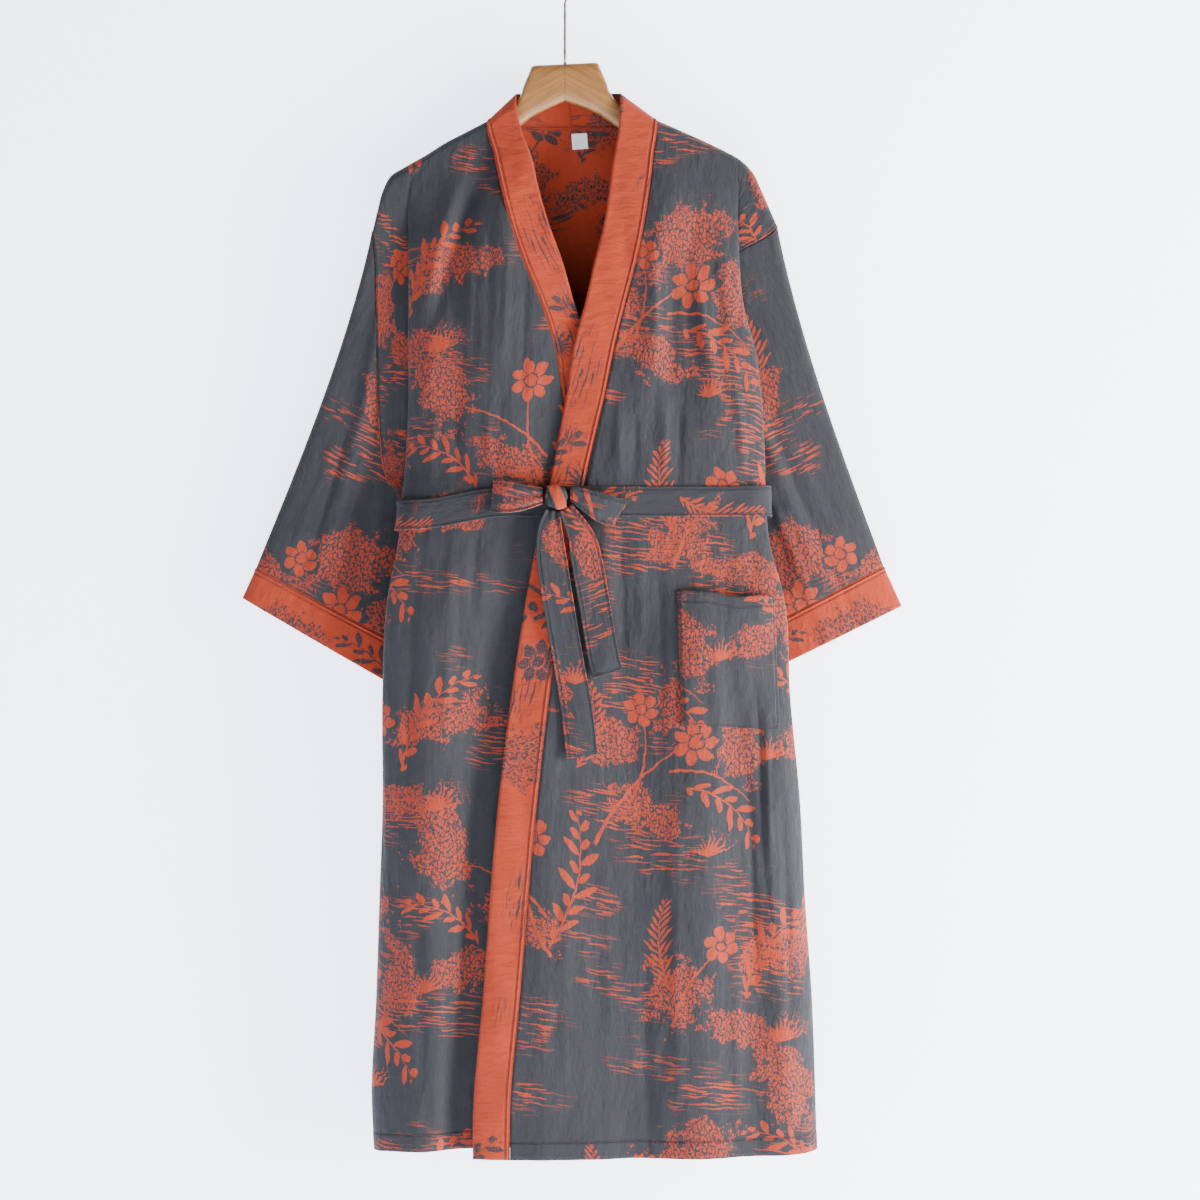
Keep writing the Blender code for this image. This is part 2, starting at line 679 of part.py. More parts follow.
def loop_points(rows):
    """A loop of the bow: the strip goes out from the knot, turns at its end and comes back
    behind itself."""
    row = table(rows, LOOP_COLUMNS)
    places = np.linspace(0, 1, len(rows))
    turn = np.linspace(0, math.pi, 15)
    out = np.sin(turn) ** 0.8
    across, down, half, depth, lean = (spline(places, row[name], out) for name in LOOP_COLUMNS)
    y = front_y(across, down, folded=False) - WALL - LOOP_LIFT - depth * np.cos(turn)
    height = np.linspace(-1, 1, 4)
    level = down[:, None] + half[:, None] * height
    x = across[:, None] - lean[:, None] * height
    return np.stack([x, y[:, None] + 0 * height, -level], -1)


def remove_everything():
    for thing in list(bpy.data.objects):
        bpy.data.objects.remove(thing)


def material(name, finish):
    """A material of the object's own, with one of the finishes."""
    colour, roughness, metallic = finish
    made = bpy.data.materials.new(name)
    made.use_nodes = True
    shader = made.node_tree.nodes["Principled BSDF"]
    shader.inputs["Base Color"].default_value = (*colour, 1)
    shader.inputs["Roughness"].default_value = roughness
    shader.inputs["Metallic"].default_value = metallic
    return made


def placed(name, shape, finish):
    made = bpy.data.objects.new(name, shape)
    made.data.materials.append(material(name, finish))
    PARTS.objects.link(made)
    return made


def grid_faces(rows, columns, closed):
    """Quads of a grid whose points are counted along its rows."""
    last = columns if closed else columns - 1
    row, column = np.meshgrid(np.arange(rows - 1), np.arange(last), indexing="ij")
    here = row * columns + column
    beside = row * columns + (column + 1) % columns
    return np.stack([here, beside, beside + columns, here + columns], -1).reshape(-1, 4)


def cloth(name, points, finish, closed=False, wall=WALL, flip=False):
    """A piece of cloth: a loft through a grid of points, given its wall by Solidify."""
    mesh = bpy.data.meshes.new(name)
    faces = grid_faces(*points.shape[:2], closed)
    if flip:
        faces = faces[:, ::-1]
    mesh.from_pydata((points.reshape(-1, 3) * MM).tolist(), [], faces.tolist())
    mesh.shade_smooth()
    made = placed(name, mesh, finish)
    shell = made.modifiers.new("wall", "SOLIDIFY")
    shell.thickness = wall * MM
    shell.offset = 0
    return made


def hanger_wood(finish):
    """The hanger's wood: rounded sections lofted from end to end, a little tilted."""
    half = np.array(HANGER, float)
    outline = np.concatenate([half[:0:-1] * (-1, 1, 1, 1), half])
    turn = np.linspace(0, 2 * math.pi, HANGER_ROUND, endpoint=False) + math.pi / HANGER_ROUND
    ring_y = np.sign(np.cos(turn)) * np.abs(np.cos(turn)) ** HANGER_SQUARENESS
    ring_z = np.sign(np.sin(turn)) * np.abs(np.sin(turn)) ** HANGER_SQUARENESS
    x, top, bottom, depth = (column[:, None] for column in outline.T)
    z = -mix(top, bottom, (1 - ring_z) / 2) + x * HANGER_TILT
    points = np.stack([x + 0 * ring_y, depth * ring_y, z], -1)
    mesh = bpy.data.meshes.new("hanger_wood")
    rings, round_count = points.shape[:2]
    faces = grid_faces(rings, round_count, closed=True).tolist()
    first = list(range(round_count))
    faces.append(first[::-1])
    faces.append([(rings - 1) * round_count + index for index in first])
    mesh.from_pydata((points.reshape(-1, 3) * MM).tolist(), [], faces)
    mesh.shade_smooth()
    return placed("hanger_wood", mesh, finish)


def hook_route():
    """The hook's middle line: up the shank, out to one side and round over the top."""
    radius = HOOK_INSIDE + HOOK_WIRE
    join = math.radians(-50)
    middle = -HOOK_INSIDE
    ends = np.array(((0, -HOOK_SHANK_TOP), (radius * math.cos(join), middle + radius * math.sin(join))))
    ahead = np.array(((0, 12), (-12 * math.sin(join), 12 * math.cos(join))))
    share = np.linspace(0, 1, 8)[:, None]
    rest = 1 - share
    bend = rest**3 * ends[0] + share**3 * ends[1]
    bend += 3 * rest**2 * share * (ends[0] + ahead[0]) + 3 * rest * share**2 * (ends[1] - ahead[1])
    turn = np.linspace(join, math.radians(HOOK_END_ANGLE), 22)[1:, None]
    circle = np.concatenate([radius * np.cos(turn), middle + radius * np.sin(turn)], 1)
    foot = np.array([(0, -(HANGER[0][1] - SEAM_GAP)), (0, -92)])
    return np.concatenate([foot, bend, circle])


def hanger_hook(finish):
    route = hook_route() * MM
    curve = bpy.data.curves.new("hanger_hook", "CURVE")
    curve.dimensions = "3D"
    curve.bevel_depth = HOOK_WIRE * MM
    curve.bevel_resolution = 2
    curve.use_fill_caps = True
    line = curve.splines.new("POLY")
    line.points.add(len(route) - 1)
    for point, (x, z) in zip(line.points, route):
        point.co = (x, 0, z, 1)
    return placed("hanger_hook", curve, finish)


def belt_knot(finish):
    """The knot: a squared round lump, pinched at its sides."""
    bpy.ops.mesh.primitive_uv_sphere_add(segments=16, ring_count=10, radius=1)
    made = bpy.context.object
    made.name = "belt_knot"
    made.data.name = "belt_knot"
    for owner in list(made.users_collection):
        owner.objects.unlink(made)
    PARTS.objects.link(made)
    half = np.array(KNOT["half"])
    base = front_y(np.array(float(KNOT["across"])), np.array(float(KNOT["down"])))
    centre = np.array((KNOT["across"], float(base) - 4.3 - half[1], -KNOT["down"]))
    for vertex in made.data.vertices:
        ball = np.array(vertex.co)
        shape = np.sign(ball) * np.abs(ball) ** 0.8
        vertex.co = (centre + shape * half) * MM
    made.data.materials.append(material("belt_knot", finish))
    made.data.shade_smooth()
    return made


remove_everything()
PARTS = bpy.data.collections.new("kimono_robe")
bpy.context.scene.collection.children.link(PARTS)

cloth("front_left", front_points("left", COLUMNS, ROWS), FACE)
cloth("front_right", front_points("right", COLUMNS, ROWS), FACE, flip=True)
cloth("back", back_points(ACROSS_BACK, ROWS), FACE, flip=True)
for wearer_side in ("left", "right"):
    mirrored = wearer_side == "right"
    cloth("band_" + wearer_side, band_points(wearer_side), REVERSE, flip=mirrored)
    cloth("sleeve_" + wearer_side, sleeve_points(wearer_side), FACE, closed=True, flip=mirrored)
    cloth("cuff_" + wearer_side, cuff_points(wearer_side), REVERSE, closed=True, flip=mirrored)
cloth("pocket", pocket_points(), FACE)
cloth("label", label_points(), WHITE, wall=LABEL_WALL)
cloth("belt", belt_points(), FACE, closed=True)
cloth("belt_tail_short", tail_points(TAIL_SHORT), FACE, wall=BELT_TAIL_WALL)
cloth("belt_tail_long", tail_points(TAIL_LONG), FACE, wall=BELT_TAIL_WALL)
cloth("bow_loop_left", loop_points(LOOP_LEFT), FACE)
cloth("bow_loop_right", loop_points(LOOP_RIGHT), FACE)
belt_knot(FACE)
hanger_wood(WOOD)
hanger_hook(STEEL)
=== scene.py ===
"""Looks of a kimono robe that hangs on a wooden hanger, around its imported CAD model.

The robe is a jacquard double gauze, slate with burnt-orange motifs outside and the two
colours changed over inside. Shapes are worked out in millimetres with numpy: x runs to the
wearer's left, "down" is a distance below the inside top of the hook, and y is the depth, with
the front at -y. Each piece of cloth is a grid of points which gets its two faces and its rim.
"""

import collections
import functools
import math
import operator

import bpy
import numpy as np
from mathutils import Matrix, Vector


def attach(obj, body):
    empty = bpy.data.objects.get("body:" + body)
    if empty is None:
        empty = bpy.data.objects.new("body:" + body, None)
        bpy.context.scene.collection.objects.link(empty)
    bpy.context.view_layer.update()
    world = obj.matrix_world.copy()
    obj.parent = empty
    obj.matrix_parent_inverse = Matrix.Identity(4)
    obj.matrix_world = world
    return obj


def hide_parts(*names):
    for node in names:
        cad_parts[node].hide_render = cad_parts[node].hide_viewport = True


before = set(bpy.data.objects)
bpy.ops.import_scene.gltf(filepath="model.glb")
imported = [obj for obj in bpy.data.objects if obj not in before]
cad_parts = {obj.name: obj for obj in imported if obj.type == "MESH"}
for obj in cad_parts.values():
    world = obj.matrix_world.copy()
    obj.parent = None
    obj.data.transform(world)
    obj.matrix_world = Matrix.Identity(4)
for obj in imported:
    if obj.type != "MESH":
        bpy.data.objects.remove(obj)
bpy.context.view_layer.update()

MM = 0.001
WALL = 1.4
SEAM_GAP = 0.3
TURNED_GAP = 0.9
SQUARENESS = 0.77

# The body, a row for each section: the widest points to the left and right, the depth of the
# side seam, of the middle of the front and of the back, how far the back is tucked in beside
# its middle, the angle at which each front turns back, and the strip beyond the right fold.
SECTION_COLUMNS = (
    "down", "left", "right", "side", "front", "back", "tuck", "turn_left", "turn_right", "strip",
)
SECTIONS = (
    (190, -178, 198, 0, -20, 24, 0.9, 90, 90, 39),
    (310, -178, 198, 1, -31, 29, 0.9, 95, 90, 39),
    (345, -178, 198, 4, -34, 31, 1.0, 112, 90, 38),
    (400, -178, 203, 6, -38, 32, 1.0, 116, 90, 37),
    (450, -178, 216, 7, -41, 33, 1.0, 125, 90, 36),
    (506, -178, 223, 7, -44, 33, 1.1, 128, 90, 35),
    (552, -180, 226, 5, -47, 32, 1.2, 129, 90, 30),
    (580, -182, 227, 0, -48, 30, 1.3, 129, 90, 25),
    (596, -183, 227, -5, -49, 28, 1.4, 129, 91, 19),
    (612, -184, 228, -12, -50, 27, 1.5, 127, 92, 7),
    (630, -184, 228, -19, -51, 26, 1.5, 124, 94, 0),
    (660, -187, 230, -26, -53, 26, 1.5, 118, 96, 0),
    (733, -200, 248, -31, -56, 28, 1.5, 108, 96, 0),
    (846, -206, 255, -27, -60, 30, 1.4, 101, 94, 0),
    (959, -206, 266, -20, -64, 32, 1.0, 96, 92, 0),
    (1072, -210, 272, -16, -66, 34, 0.9, 96, 91, 0),
    (1186, -214, 280, -14, -68, 36, 0.9, 96, 90, 0),
    (1299, -219, 284, -14, -69, 38, 0.9, 96, 90, 0),
    (1372, -215, 286, -14, -69, 38, 0.9, 96, 90, 0),
)

# The band on each front: across of its seam and of its free inner edge at each height.
EDGE_COLUMNS = ("down", "over_seam", "over_inner", "under_seam", "under_inner")
EDGES = (
    (185, 104, 60, -88, -43),
    (255, 98, 52, -75, -32),
    (303, 91, 45, -63, -19),
    (348, 82, 34, -48, -3),
    (393, 70, 24, -29, 10),
    (438, 59, 12, -14, 25),
    (506, 45, 1, -2, 41),
    (597, 24, -16, 15, 58),
    (687, 8, -35, 27, 70),
    (801, -11, -54, 40, 83),
    (959, -30, -74, 54, 97),
    (1186, -50, -92, 68, 111),
    (1299, -60, -102, 74, 117),
    (1372, -61, -103, 77, 120),
)

# The shoulder lines, from the neck along the hanger's arm and down past its end.
SHOULDER_LEFT = (
    (105, 186), (137, 200), (159, 210), (182, 221), (201, 232), (215, 247),
    (223, 264), (231, 282), (241, 305),
)
SHOULDER_RIGHT = (
    (-89, 187), (-114, 200), (-137, 212), (-159, 226), (-182, 239), (-199, 250),
    (-207, 265), (-213, 287), (-219, 312),
)
HEM_COLUMNS = ("across", "over", "under", "back")
HEMS = (
    (-220, 1359, 1356, 1358),
    (-160, 1359, 1353, 1360),
    (-100, 1360, 1345, 1361),
    (-20, 1364, 1344, 1361),
    (70, 1363, 1344, 1361),
    (180, 1359, 1344, 1359),
    (290, 1353, 1344, 1355),
)

# Large soft folds: where each starts and ends, its half-width and its height. A ridge is
# positive and a valley negative.
FRONT_FOLDS = (
    (-98, 215, -150, 470, 18, -5),
    (-120, 235, -162, 560, 16, 4),
    (-66, 240, -96, 560, 22, 5),
    (118, 230, 88, 560, 22, 5),
    (150, 240, 132, 560, 18, -4),
    (-14, 700, -24, 1372, 20, 4),
    (70, 690, 78, 1372, 38, -8),
    (150, 690, 157, 1372, 32, 7),
    (200, 800, 210, 1372, 26, -4),
    (240, 880, 250, 1372, 18, 4),
    (-150, 680, -160, 1372, 28, 6),
    (-98, 700, -122, 1372, 26, -6),
)
BACK_FOLDS = (
    (-120, 260, -130, 1372, 28, 5),
    (-60, 330, -70, 1372, 28, -5),
    (8, 300, 10, 1372, 32, 6),
    (84, 330, 92, 1372, 28, -5),
    (140, 260, 160, 1372, 28, 5),
)
# Small creases of the fronts: both ends, how far it bows sideways, its half-width, its height
# and how much steeper it is on one side.
FRONT_CREASES = (
    (-84, 215, -150, 430, -6, 9, -3.8, 0),
    (-104, 205, -160, 410, -4, 8, 3.4, 0.3),
    (-106, 320, -110, 480, 1, 5, 1.5, 0),
    (-85, 290, -90, 500, 2, 6, -1.6, 0),
    (-62, 300, -68, 470, -1, 5, 1.5, 0),
    (-44, 330, -50, 520, 1, 5, -1.3, 0),
    (-148, 520, -152, 606, 0, 5, 1.7, 0),
    (-120, 500, -124, 604, 1, 6, -1.7, 0),
    (-86, 520, -84, 604, 0, 5, 1.4, 0),
    (100, 330, 102, 480, 1, 7, 3.0, 0.4),
    (118, 320, 122, 500, 1, 8, -3.2, 0),
    (146, 335, 176, 520, -3, 8, 2.8, 0.2),
    (166, 330, 178, 460, 2, 8, -2.6, 0),
    (62, 500, 60, 606, 0, 5, 1.8, 0),
    (79, 520, 77, 606, 1, 5, -1.9, 0),
    (112, 490, 114, 606, 0, 6, 2.2, 0.2),
    (130, 510, 128, 606, 1, 5, -2.0, 0),
    (190, 470, 204, 600, 2, 6, 1.8, 0),
    (44, 655, 50, 760, 0, 5, 1.8, 0),
    (62, 648, 66, 800, 1, 5, -1.9, 0),
    (84, 650, 88, 780, 0, 6, 2.0, 0.2),
    (104, 652, 108, 880, 2, 6, -1.7, 0),
    (-100, 652, -104, 760, 0, 6, -1.8, 0),
    (-128, 660, -134, 900, 2, 7, 1.9, 0.2),
    (-168, 700, -178, 1010, 0, 7, -2.0, 0),
    (-118, 950, -132, 1270, 4, 8, 2.2, 0),
    (-168, 1040, -158, 1340, 0, 9, -2.2, 0),
    (-140, 1120, -146, 1356, 2, 6, 1.6, 0),
    (168, 760, 172, 990, 2, 7, 2.0, 0.3),
    (214, 820, 224, 1030, 3, 4, -2.0, 0),
    (228, 850, 236, 1100, -2, 4, 1.9, 0),
    (204, 900, 214, 1160, 2, 5, -1.9, 0),
    (243, 930, 254, 1250, 2, 5, -1.8, 0),
    (124, 960, 128, 1300, 0, 9, 2.0, 0),
    (38, 1000, 34, 1340, 0, 9, -2.0, 0),
    (4, 960, -2, 1310, 2, 7, 1.7, 0),
    (190, 1080, 196, 1350, 2, 7, 2.0, 0.2),
    (90, 1120, 94, 1352, 0, 7, -1.6, 0),
)
BACK_CREASES = (
    (-96, 250, -128, 420, -4, 9, 2.6, 0.2),
    (-60, 260, -70, 480, 2, 7, -1.8, 0),
    (30, 240, 34, 460, 1, 7, 1.8, 0),
    (110, 250, 140, 430, 4, 9, 2.4, 0.2),
    (-110, 500, -116, 602, 0, 6, 1.8, 0),
    (-40, 510, -40, 602, 0, 6, -1.8, 0),
    (66, 500, 66, 602, 0, 6, 1.8, 0),
    (150, 520, 152, 602, 0, 6, -1.6, 0),
    (-130, 660, -138, 960, 2, 7, 2.0, 0),
    (-20, 655, -24, 820, 0, 6, 1.9, 0.2),
    (52, 650, 56, 900, 1, 6, -1.8, 0),
    (120, 660, 130, 1000, 2, 7, 2.0, 0),
    (-96, 980, -102, 1300, 2, 8, -2.0, 0),
    (20, 1010, 16, 1330, 0, 9, 2.0, 0),
    (190, 900, 204, 1260, 2, 6, -1.9, 0),
)
FOLD_FADE = 90
BELT_DOWN = 622
# How much the belt flattens the folds and the small creases, and how far from its middle.
BELT_ON_FOLDS = (0.9, 45)
BELT_ON_CREASES = (0.75, 26)
CREASE_SCALE = 1.45
SLEEVE_CREASE_SCALE = 1.3
# Random relief: its height, seed and size, and how much longer it is down than across.
FRONT_CRINKLES = ((0.5, 3, 26, 2.5), (1.1, 4, 70, 4))
BACK_CRINKLES = ((0.4, 13, 28, 2.5), (1, 14, 80, 4))
SLEEVE_CRINKLES = {"left": ((0.6, 31, 34, 2.5),), "right": ((0.6, 32, 34, 2.5),)}

STRIP_TOP = 345
STRIP_GAP = 0.5
CREST_RADIUS = 10.3
DRAPE_LENGTH = 110
COLUMN_SETTLE = 40
# Where the columns of a front begin to even out below the belt, and over how far they do.
EVENED_TOP, EVENED_OVER = 640, 500
UNDER_INSET = 5.5
SKIRT_INSET = 9
SKIRT_TOP = 650
ARMPIT_DOWN = 592
ARMHOLE_OPEN = 31
NECK_CORNER = 9.6
NECK_DEPTH = 26
NECK_REACH = 0.5
NECK_SHARE = 8 / 28
COLLAR_OVERLAP = 0.4
BAND_RISE = 31
BAND_RISE_REACH = 90
COLLAR = {"right": -56, "left": 63, "back_down": 151, "depth": 24}
FOLD_SHARE = 0.75
FOLD_TOP = 0.5

SLEEVES = {
    "left": {
        "seam": ((364, 694, 10), (182, 788, 16)),
        "edge": ((385, 740, 10), (204, 829, 16)),
        "bow": -9,
    },
    "right": {
        "seam": ((-353, 696, 10), (-176, 790, 16)),
        "edge": ((-369, 731, 10), (-195, 832, 16)),
        "bow": 10,
    },
}
SLEEVE_HALF_DEPTH = 14
# The rings of the allowance under the cuff: how far past the seam, and how far in.
SLEEVE_ALLOWANCE = ((0.5, 1.3), (5, 1.9))
UNDERARM_TUCK = {"left": -4, "right": 26}
# Creases of a sleeve: where each starts and ends, as shares of the way round from the outer
# fold to the underarm and of the way from the armhole to the cuff, its half-width as a share
# and its height.
SLEEVE_CREASES = (
    (0.40, 0.00, 0.35, 1.00, 0.075, 3.4),
    (0.66, 0.00, 0.58, 0.92, 0.100, -5.0),
    (0.50, 0.30, 0.44, 1.10, 0.035, 1.9),
    (0.29, 0.40, 0.27, 1.10, 0.030, -1.8),
    (0.20, 0.52, 0.15, 1.00, 0.030, 1.6),
    (0.78, 0.35, 0.66, 1.05, 0.040, 1.8),
)

POCKET = {"left": 127, "right": 235, "top": 722, "bottom": 873, "lean": 0.04, "slope": 0.06}
POCKET_BULGE = 9
POCKET_SAG = 3.5
LABEL = {"left": 7, "right": 25, "top": 3.5, "height": 18}

BELT_WIDTH = 34
TAIL_WALL = 1.8
BELT_SIDE_SAG = 16
# The belt's ends: across, down, the lift off the robe and the half-width.
TAIL_SHORT = (
    (1.6, 629.9, 12, 8),
    (18, 660, 11, 14.5),
    (25, 688, 9, 17.5),
    (35, 744, 7, 17.5),
    (44, 798, 6, 17.5),
    (49, 816, 6, 17.5),
)
TAIL_LONG = (
    (-13, 632.6, 11, 8),
    (-16, 656, 12, 14),
    (-14, 688, 11, 17),
    (-5.5, 744, 9, 17.2),
    (4.5, 801, 7, 17),
    (14, 857, 6, 17.5),
    (20, 909, 6, 17.5),
)
KNOT = {"across": -9, "down": 617, "half": (15, 9, 15)}
# The bow's loops: across, down, half the height, half the depth and the lean.
LOOP_RIGHT = (
    (-24.6, 616, 9, 3.4, 0), (-48, 618, 15, 5.2, 1), (-68, 617, 18, 6.2, 1.5), (-81, 616, 18, 3.4, 2),
)
LOOP_LEFT = (
    (6.6, 613, 8, 3.4, 0), (24, 621, 12, 5.2, 3), (43, 630, 15, 5.6, 6), (62, 636, 15, 3.2, 8),
)
KNOT_LEAN = 0.42
LOOP_LIFT = 10
PLEAT_HEIGHT = 1.3

# The hanger's left half: across, its top, its bottom and half its depth.
HANGER = (
    (0, 121, 163, 8), (20, 121, 171, 8), (36, 121.4, 178.5, 8), (40, 127, 181, 8),
    (44, 136, 184, 8), (48, 146, 187, 8), (51, 155, 189, 8), (60, 168, 196, 8),
    (72, 178, 203, 8), (88, 187.6, 211, 8), (104, 195.5, 218.5, 8), (136, 211, 233, 8),
    (160, 224, 245, 8), (181, 236, 254, 8), (190, 242, 256, 7), (195, 246, 254, 5),
)
HANGER_TILT = 0.046
HOOK_WIRE = 1.7
HOOK_INSIDE = 20
HOOK_SHANK_TOP = 56
HOOK_END_ANGLE = 205

CAMERA = {"across": 40, "down": 733, "plane": -35, "width": 1358, "lens": 100, "sensor": 36}
WALL_DEPTH = 52
FLOOR_DOWN = 1560
WALL_GLOW = 3.1


def table(rows, columns):
    """A table's rows as named columns."""
    return dict(zip(columns, np.array(rows, float).T))


SECTION = table(SECTIONS, SECTION_COLUMNS)
EDGE = table(EDGES, EDGE_COLUMNS)
HEM = table(HEMS, HEM_COLUMNS)


def spline(places, values, at):
    """A smooth curve through values at places: a cubic between each two of them, whose
    slopes come from the neighbours."""
    places, values = np.asarray(places, float), np.asarray(values, float)
    slopes = np.gradient(values, places)
    at = np.clip(at, places[0], places[-1])
    row = np.clip(np.searchsorted(places, at) - 1, 0, len(places) - 2)
    step = places[row + 1] - places[row]
    share = (at - places[row]) / step
    rest = 1 - share
    ends = values[row] * (1 + 2 * share) * rest**2 + values[row + 1] * share**2 * (3 - 2 * share)
    return ends + step * share * rest * (slopes[row] * rest - slopes[row + 1] * share)


def section(name, down):
    return spline(SECTION["down"], SECTION[name], down)


def edge(name, down):
    return spline(EDGE["down"], EDGE[name], down)


def ease(value):
    """A smooth step from 0 to 1."""
    value = np.clip(value, 0, 1)
    return value * value * (3 - 2 * value)


def mix(first, second, share):
    return first + (second - first) * share


def sided(side):
    """The name of a front's layer, and 1 for the left or -1 for the right."""
    return ("over", 1) if side == "left" else ("under", -1)


def squared(value):
    """A signed power, which squares off an ellipse."""
    return np.sign(value) * np.abs(value) ** SQUARENESS


def free_of_belt(down, share, reach):
    """1 away from the belt, and less by that share at its middle."""
    return 1 - share * np.exp(-(((down - BELT_DOWN) / reach) ** 2))


def folds(rows, x, down):
    """The height of the large folds: a bell across each one, which fades in at its ends and
    under the belt."""
    total = np.zeros(np.broadcast(x, down).shape)
    for x_top, down_top, x_low, down_low, half_width, height in rows:
        share = (down - down_top) / (down_low - down_top)
        middle = mix(x_top, x_low, np.clip(share, 0, 1))
        length = ease((down - down_top) / FOLD_FADE)
        if down_low < HEM["over"].min():
            length = length * ease((down_low - down) / FOLD_FADE)
        total = total + height * length * np.exp(-(((x - middle) / half_width) ** 2))
    return total * free_of_belt(down, *BELT_ON_FOLDS)


def creases(rows, x, down):
    """The height of the small creases: each bows sideways between its ends, is steeper on
    one side than on the other, and tapers off at both ends."""
    total = np.zeros(np.broadcast(x, down).shape)
    for x_top, down_top, x_low, down_low, bow, half_width, height, lean in rows:
        share = (down - down_top) / (down_low - down_top)
        inside = np.clip(share, 0, 1)
        middle = mix(x_top, x_low, inside) + bow * np.sin(math.pi * inside)
        away = (x - middle) / half_width
        away = away * (1 + lean * np.tanh(away))
        taper = np.sin(math.pi * inside) ** 0.7 * (share > 0) * (share < 1)
        total = total + height * taper * np.exp(-(away**2))
    return total


def crinkles(rows, x, down):
    """The height of all the random relief of a piece."""
    return sum(height * crinkle(x, down, *row) for height, *row in rows)


def crinkle(x, down, seed, size, tall):
    """Smooth random relief about -1 to 1: a sum of 24 sine waves whose directions and phases
    are drawn once, longer down the cloth than across it."""
    drawn = np.random.default_rng(seed)
    total = np.zeros(np.broadcast(x, down).shape)
    for _ in range(24):
        turn = drawn.uniform(0, 2 * math.pi)
        pitch = 2 * math.pi / (size * drawn.uniform(0.7, 2.2))
        phase = drawn.uniform(0, 2 * math.pi)
        total = total + np.sin(pitch * (x * math.cos(turn) + down / tall * math.sin(turn)) + phase)
    return total / 5


def armhole_gap(down):
    """How far the front and back edges stand apart at the armhole."""
    top = SHOULDER_LEFT[-1][1] + 2
    share = np.clip((down - top) / (ARMPIT_DOWN - top), 0, 1)
    return ARMHOLE_OPEN * np.sin(math.pi * share) ** 0.75


def body_halves(down):
    """The middle and the half-width of the body's section."""
    left, right = section("left", down), section("right", down)
    return (left + right) / 2, (right - left) / 2


def flap_gap(down):
    """How far the fronts and the back stand from the middle of the side seam."""
    beside_strip = ease(section("strip", down) / 5) * ease((down - STRIP_TOP) / 100)
    return TURNED_GAP / 2 + STRIP_GAP * beside_strip


def turn_back(sign, down):
    """The angle round the section at which a front ends at its seam."""
    return np.radians(np.where(sign > 0, section("turn_left", down), section("turn_right", down)))


def front_depths(sign, down):
    """The depth of the widest point of the front, and how far the middle lies before it."""
    seam = section("side", down) - armhole_gap(down) / 2
    turned = np.abs(np.cos(turn_back(sign, down))) ** SQUARENESS
    depth = (seam - section("front", down)) / (1 + turned)
    return seam - turned * depth, depth


def front_relief(x, down):
    """The height of everything that stands out of the smooth front."""
    small = CREASE_SCALE * creases(FRONT_CREASES, x, down) + crinkles(FRONT_CRINKLES, x, down)
    return folds(FRONT_FOLDS, x, down) + free_of_belt(down, *BELT_ON_CREASES) * small


def front_y(x, down, folded=True):
    """Depth of the front of the robe at (x, down)."""
    middle, half = body_halves(down)
    widest, depth = front_depths(x - middle, down)
    reach = np.clip(np.abs(x - middle) / half, 0, 1)
    facing = np.sqrt(1 - reach ** (2 / SQUARENESS))
    smooth = widest - depth * facing**SQUARENESS
    if not folded:
        return smooth
    return smooth - front_relief(x, down) * ease(facing * 3)


def under_inset(x, down):
    """How far the under front lies behind the over one, from just before its edge: more in
    the skirt, where it falls back from the edge."""
    behind = (x - edge("over_inner", down) + 60) / 50
    in_skirt = ease((down - SKIRT_TOP) / 150)
    return UNDER_INSET * ease(behind) + SKIRT_INSET * ease(behind) * in_skirt


def front_angle(x, down):
    """The angle round the section at which the front has that x."""
    middle, half = body_halves(down)
    reach = np.clip((x - middle) / half, -1, 1)
    return np.arcsin(np.sign(reach) * np.abs(reach) ** (1 / SQUARENESS))


def fold_excess(across):
    return np.clip((across - FOLD_SHARE) / (1 - FOLD_SHARE), 0, 1)


def front_section(sign, layer, across, down):
    """(x, y) of a front between its band's seam, 0, and its side seam, 1. The fold at the
    side stays on one column, and the cloth beyond it turns back or stands out as a strip."""
    start = front_angle(edge(layer + "_seam", down), down)
    quarter, end = sign * math.pi / 2, sign * turn_back(sign, down)
    before, beyond = np.clip(across / FOLD_SHARE, 0, 1), fold_excess(across)
    bent = mix(start, quarter, before) + (end - quarter) * beyond
    angle = mix(bent, mix(start, end, across), ease((down - EVENED_TOP) / EVENED_OVER))
    middle, half = body_halves(down)
    widest, depth = front_depths(sign, down)
    x = middle + half * squared(np.sin(angle))
    y = widest - depth * squared(np.cos(angle))
    y = y - front_relief(x, down) * ease(np.cos(angle) * 3)
    if sign < 0:
        x = x - section("strip", down) * beyond
    return x, y


def seam_x(sign, down):
    """Across of the side seam."""
    layer = "over" if sign > 0 else "under"
    return front_section(sign, layer, np.ones_like(down), down)[0]


def back_halves(down):
    """The middle and the half-width of the back."""
    right, left = seam_x(-1, down), seam_x(1, down)
    return (left + right) / 2, (left - right) / 2


def back_y(x, down):
    """Depth of the back at (x, down), below the shoulders."""
    middle, half = back_halves(down)
    reach = np.clip((x - middle) / half, -1, 1)
    bulge = (1 - reach**2) ** section("tuck", down)
    seam = section("side", down) + armhole_gap(down) / 2
    relief = folds(BACK_FOLDS, x, down) + creases(BACK_CREASES, x, down)
    wave = (relief + crinkles(BACK_CRINKLES, x, down)) * ease((1 - np.abs(reach)) * 5)
    return seam + (section("back", down) - seam) * bulge + wave


def shoulder(side, share):
    """(x, down) along a shoulder line, from the neck to the top of the armhole."""
    rows = np.array(SHOULDER_LEFT if side == "left" else SHOULDER_RIGHT, float)
    run = np.concatenate([[0], np.cumsum(np.hypot(*np.diff(rows, axis=0).T))])
    return spline(run, rows[:, 0], share * run[-1]), spline(run, rows[:, 1], share * run[-1])


